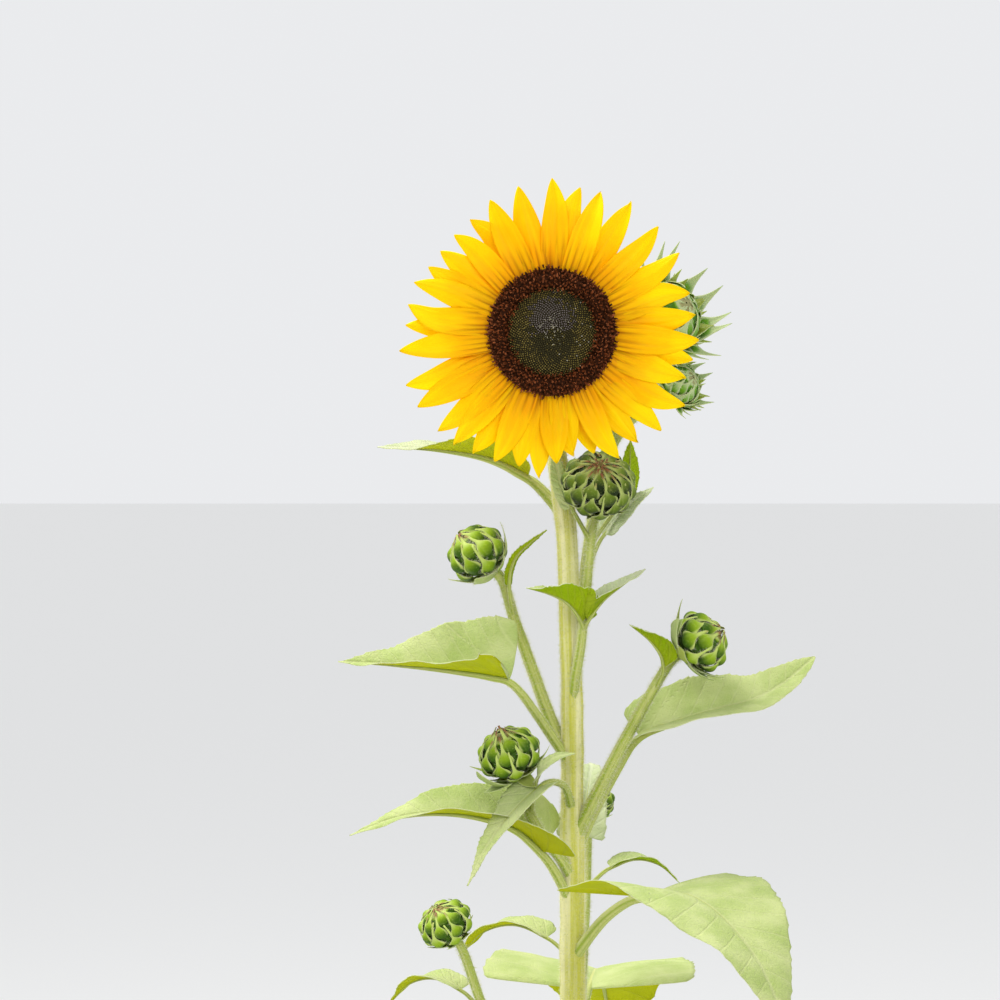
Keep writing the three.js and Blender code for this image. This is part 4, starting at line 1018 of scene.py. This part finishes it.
def add_spikes(pile, foot, way, height, radius, sides, slot, top, belly):
    """Small upright bodies, each of a foot ring, a middle ring and a top point, all at once."""
    n = len(foot)
    way = unit(way)
    first = unit(np.cross(way, unit(rng.normal(size=(n, 3)))))
    around = ways_round(sides, first, np.cross(way, first))
    height, radius = np.broadcast_to(height, n)[:, None], np.broadcast_to(radius, n)[:, None, None]
    rings = [foot[:, None] + around * radius,
             (foot + way * height * 0.55)[:, None] + around * radius * belly]
    points = np.concatenate([*rings, (foot + way * height)[:, None]], axis=1)
    k = np.arange(n)[:, None, None] * (2 * sides + 1)
    j = np.arange(sides)
    m = (j + 1) % sides
    pile.add(points, (k + stack(j, m, m + sides, j + sides)).reshape(-1, 4),
             np.repeat(np.broadcast_to(slot, n), sides))
    pile.add(points, (k + stack(j + sides, m + sides, np.full(sides, 2 * sides))).reshape(-1, 3),
             np.repeat(np.broadcast_to(top, n), sides))


def finish_disc(pile, line, rings, sides, looks, name):
    """Adds the skin below the florets, turned from a line in the xz plane, and makes the piece."""
    ring = Line(line).at(np.linspace(0, 1, rings))
    add_turned(pile, ring[:, 0], ring[:, 2], sides, flip=-1)
    pile.move(to_flower)
    pile.build(name, looks, name, flat=True)


def make_disc():
    golden = pi * (3 - sqrt(5))
    # The unopened florets in the middle stand in two sets of spirals
    n = np.arange(1, int((DISC_INNER / SEED_GAP) ** 2) + 60)
    r = SEED_GAP * np.sqrt(n)
    n, r = n[r < DISC_INNER + 0.6], r[r < DISC_INNER + 0.6]
    a = n * golden
    x, y = r * np.cos(a), r * np.sin(a)
    lean = stack(np.cos(a) * 0.004 * (r - 26), np.sin(a) * 0.004 * (r - 26), np.ones_like(r))
    pile = Pile()
    grey = 1 - smooth(np.hypot(x + 0.5, (y - 7) * 0.95), 8, 17)
    # Painted shade: darker florets in a patch below the middle of the disc
    shade = 1 - smooth(np.hypot(x - 1.5, y + 8), 7, 14)
    olive = smooth(r, 8, 17) * (0.5 + 0.5 * np.abs(np.cos(a + 0.5)) + 0.3 * (y < -12))
    draw = rng.random((4, len(r)))
    top = np.where(draw[0] < olive, np.where(draw[1] < 0.3, 4, 2), 3)
    top = np.where(draw[2] < grey, 1, top)
    top = np.where(draw[2] < shade, np.where(draw[1] < 0.15, 2, 3), top)
    top = np.where(draw[3] < 0.03 * smooth(x, -6, 16) * smooth(r, 9, 13), 5, top)
    height = 1.9 + 0.3 * rng.random(len(r)) + 0.5 * smooth(r, 15, 25)
    add_spikes(pile, stack(x, y, table_at(DOME, r) - 1.2), lean + rng.normal(scale=0.07, size=(len(r), 3)),
               height, radius=0.5, sides=5, slot=np.where(draw[1] < grey, 3, 0), top=top, belly=0.85)
    # Pale specks among the youngest florets
    count = 56
    far, way = 9 * rng.random(count), rng.uniform(0, 2 * pi, count)
    foot = stack(far * np.cos(way) + 0.5, far * np.sin(way) * 1.15 + 2.5, np.full(count, 9.0))
    add_spikes(pile, foot, (0, 0, 1) + rng.normal(scale=0.5, size=(count, 3)), rng.uniform(0.8, 1.7, count),
               radius=0.17, sides=3, slot=5, top=5, belly=0.9)
    line = [(0.01, 0, 7.2), (10, 0, 7.6), (20, 0, 6.2), (26.5, 0, 4.6)]
    finish_disc(pile, line, 12, 48, SEED, "disc_centre")

    # The open florets of the rim, each with a flared top of pointed lobes
    pile = Pile()
    n = np.arange(int(((DISC_INNER - 0.2) / RIM_GAP) ** 2), int(((DISC_RADIUS - 2) / RIM_GAP) ** 2))
    a = n * golden
    count = len(n)
    r = RIM_GAP * np.sqrt(n) + rng.normal(scale=0.3, size=count)
    crest = table_at(CREST, r) + rng.normal(scale=0.5, size=count)
    foot = stack(np.cos(a) * r, np.sin(a) * r, crest - 2)
    tilt = table_at(TILT, r)
    way = stack(np.cos(a) * tilt, np.sin(a) * tilt, np.ones(count))
    way = unit(way + rng.normal(scale=0.16, size=(count, 3)))
    tone = rng.choice(4, size=count, p=(0.42, 0.22, 0.06, 0.3))
    tall = rng.uniform(2.6, 3.8, count)
    add_spikes(pile, foot, way, tall, radius=rng.uniform(0.5, 0.68, count), sides=5, slot=tone, top=tone,
               belly=1.1)
    for _ in range(4):
        first = unit(np.cross(way, unit(rng.normal(size=(count, 3)))))
        lobe = unit(way + first * rng.uniform(0.4, 1.0, count)[:, None])
        shade = rng.choice(4, size=count, p=(0.3, 0.28, 0.24, 0.18))
        add_spikes(pile, foot + way * (tall * 0.6)[:, None], lobe, height=rng.uniform(1.0, 1.8, count),
                   radius=0.38, sides=3, slot=shade, top=shade, belly=0.8)
    line = [(24.8, 0, 3), (28, 0, 6.4), (33, 0, 7.2), (36, 0, 5.6), (37.5, 0, 3.4), (35, 0, 2.4)]
    finish_disc(pile, line, 14, 60, RIM, "disc_rim")


def make_receptacle():
    pile = Pile()
    ring = Line([(0.01, 0, -26), (7, 0, -26), (12, 0, -24), (20, 0, -20.5), (32, 0, -13), (38.5, 0, -5),
                 (38, 0, 0), (20, 0, 0.2), (0.01, 0, 0.2)]).at(np.linspace(0, 1, 60))
    angle = turns(72)
    add_turned(pile, ring[:, 0], ring[:, 2], 72, (0.15, 0.3, 0.4, 0),
               1 + 0.012 * np.cos(angle * 13) + 0.006 * np.cos(angle * 29))
    v = np.linspace(0, 1, 20)
    for row, (number, r0, h0, r1, h1, reach, half) in enumerate(BEHIND_ROWS):
        for k in range(number):
            turn = (k + row * 0.37 + rng.uniform(-0.12, 0.12)) / number * 2 * pi
            far = reach + rng.uniform(-4, 4)
            drop = -6 - rng.uniform(0, 7) if row < 2 else -4 - rng.uniform(0, 3)
            path = Line([(r0, 0, h0 - 0.5), ((r0 + r1) / 2, 0, (h0 + h1) / 2 - 3.2), (r1, 0, h1 - 1.5),
                         ((r1 + far) / 2, 0, (h1 + drop) / 2 - 0.5), (far, 0, drop)])
            width = half * rng.uniform(0.9, 1.1) * table_at(STAR_WIDTHS, v)
            add_bract(pile, turn, path.at(v)[:, [0, 2]], width, share=v * 0.75, own=rng.random(), brown=0.1,
                      cup=0.35, aside=14)
    pile.move(to_flower)
    pile.build("flower_receptacle", [BRACT, BRACT_INNER, BRACT_EDGE], "bract")
    for sheet in pile.sheets:
        add_fringe(sheet, count=30, scatter=0.4, lengths=(0.4, 1.3), thick=0.06)


# The whole plant
def make_shoot(number, leaf, length, bud):
    _, turn, foot = lower_leaf(leaf)
    state = (40 + number) * 7919 + 17
    bend = length * ((state * 16807 % 2147483647 / 2147483647 - 0.5) * 0.1)
    spot = place_outward(foot, turn)
    name = f"shoot_{number + 1}"
    axis = [spot(0, 12), spot(length * 0.14, length * 0.25, bend),
            spot(length * 0.28, length * 0.5, bend * 1.6), spot(length * 0.4, length * 0.74, bend)]
    sizes = dict(base=spot(length * 0.5, length * 0.95), look=(0.62 * cos(turn), 0.62 * sin(turn), 0.78),
                 radius=bud, height=bud * 1.55)
    make_stalk(name, axis, (4.4, 3), sizes)
    make_bud(f"{name}_bud", **sizes)
    for k, (share, side, size) in enumerate(((0.42, 1, 0.42), (0.7, -1, 0.3))):
        size = length * size
        at = (length * (0.5 * share + 0.02), length * share)
        line = [spot(at[0] + aside * 0.35, at[1] + up, side * aside) for aside, up in (
            (0, -2), (size * 0.28, size * 0.22), (size * 0.6, size * 0.34), (size * 0.9, size * 0.26),
            (size * 1.15, size * 0.02))]
        make_leaf(f"{name}_leaf_{k + 1}", line, 0.3, size * 0.5, 20, (0, 0, 1), small=1, step=1.1, pitch=4)


for name, sizes in STALKS.items():
    make_stalk(name, sizes["axis"], sizes["radii"], BUDS[sizes["bud"]])
for name, sizes in BUDS.items():
    make_bud(name, **sizes)
close_hair(1)
for name, sizes in LEAVES.items():
    make_leaf(name, **sizes)
close_hair(2)
make_receptacle()
make_rays()
make_disc()
for i in range(LOWER["count"]):
    make_leaf(f"lower_leaf_{i + 1:02d}", **lower_leaf(i)[0], step=2.3, pitch=8.5, tooth=2)
for number, sizes in enumerate(SHOOTS):
    make_shoot(number, *sizes)
close_hair(3)

# Floor, light and camera
floor_mesh = bpy.data.meshes.new("floor")
floor_mesh.from_pydata([(-60, -60, 0), (60, -60, 0), (60, 60, 0), (-60, 60, 0)], [], [(0, 1, 2, 3)])
floor_mesh.materials.append(Look("floor_pale").finish((0.9, 0.9, 0.89, 1), rough=0.95, shine=0.1))
floor = bpy.data.objects.new("floor", floor_mesh)
studio.collection.objects.link(floor)

world = bpy.data.worlds.new("studio")
world.use_nodes = True
sky = world.node_tree.nodes["Background"].inputs
sky[0].default_value = (0.97, 0.98, 1.0, 1)
sky[1].default_value = 0.85
studio.world = world


def add_light(name, place, size, power, colour=(1, 1, 1)):
    """A round lamp that looks at the upper plant."""
    light = bpy.data.lights.new(name, "AREA")
    light.shape, light.size, light.energy, light.color = "DISK", size, power, colour
    lamp = bpy.data.objects.new(name, light)
    lamp.location = place
    lamp.rotation_mode = "QUATERNION"
    lamp.rotation_quaternion = (Vector((0, 0, 1.2)) - Vector(place)).to_track_quat("-Z", "Y")
    studio.collection.objects.link(lamp)


add_light("key", (-1.4, 0.6, 4.0), size=1.8, power=150, colour=(1, 0.99, 0.95))
add_light("fill", (0.8, -3.4, 3.0), size=2.0, power=50)

camera_data = bpy.data.cameras.new("camera")
camera_data.lens = 132.02
camera_data.sensor_width = 36
camera_data.clip_end = 200
camera = bpy.data.objects.new("camera", camera_data)
camera.location = (-0.051, -2.2, 1.248)
camera.rotation_euler = (pi / 2 - atan2(0.042, 2.2), 0, 0)
studio.collection.objects.link(camera)
studio.camera = camera
studio.view_settings.view_transform = "Standard"
studio.view_settings.look = "None"
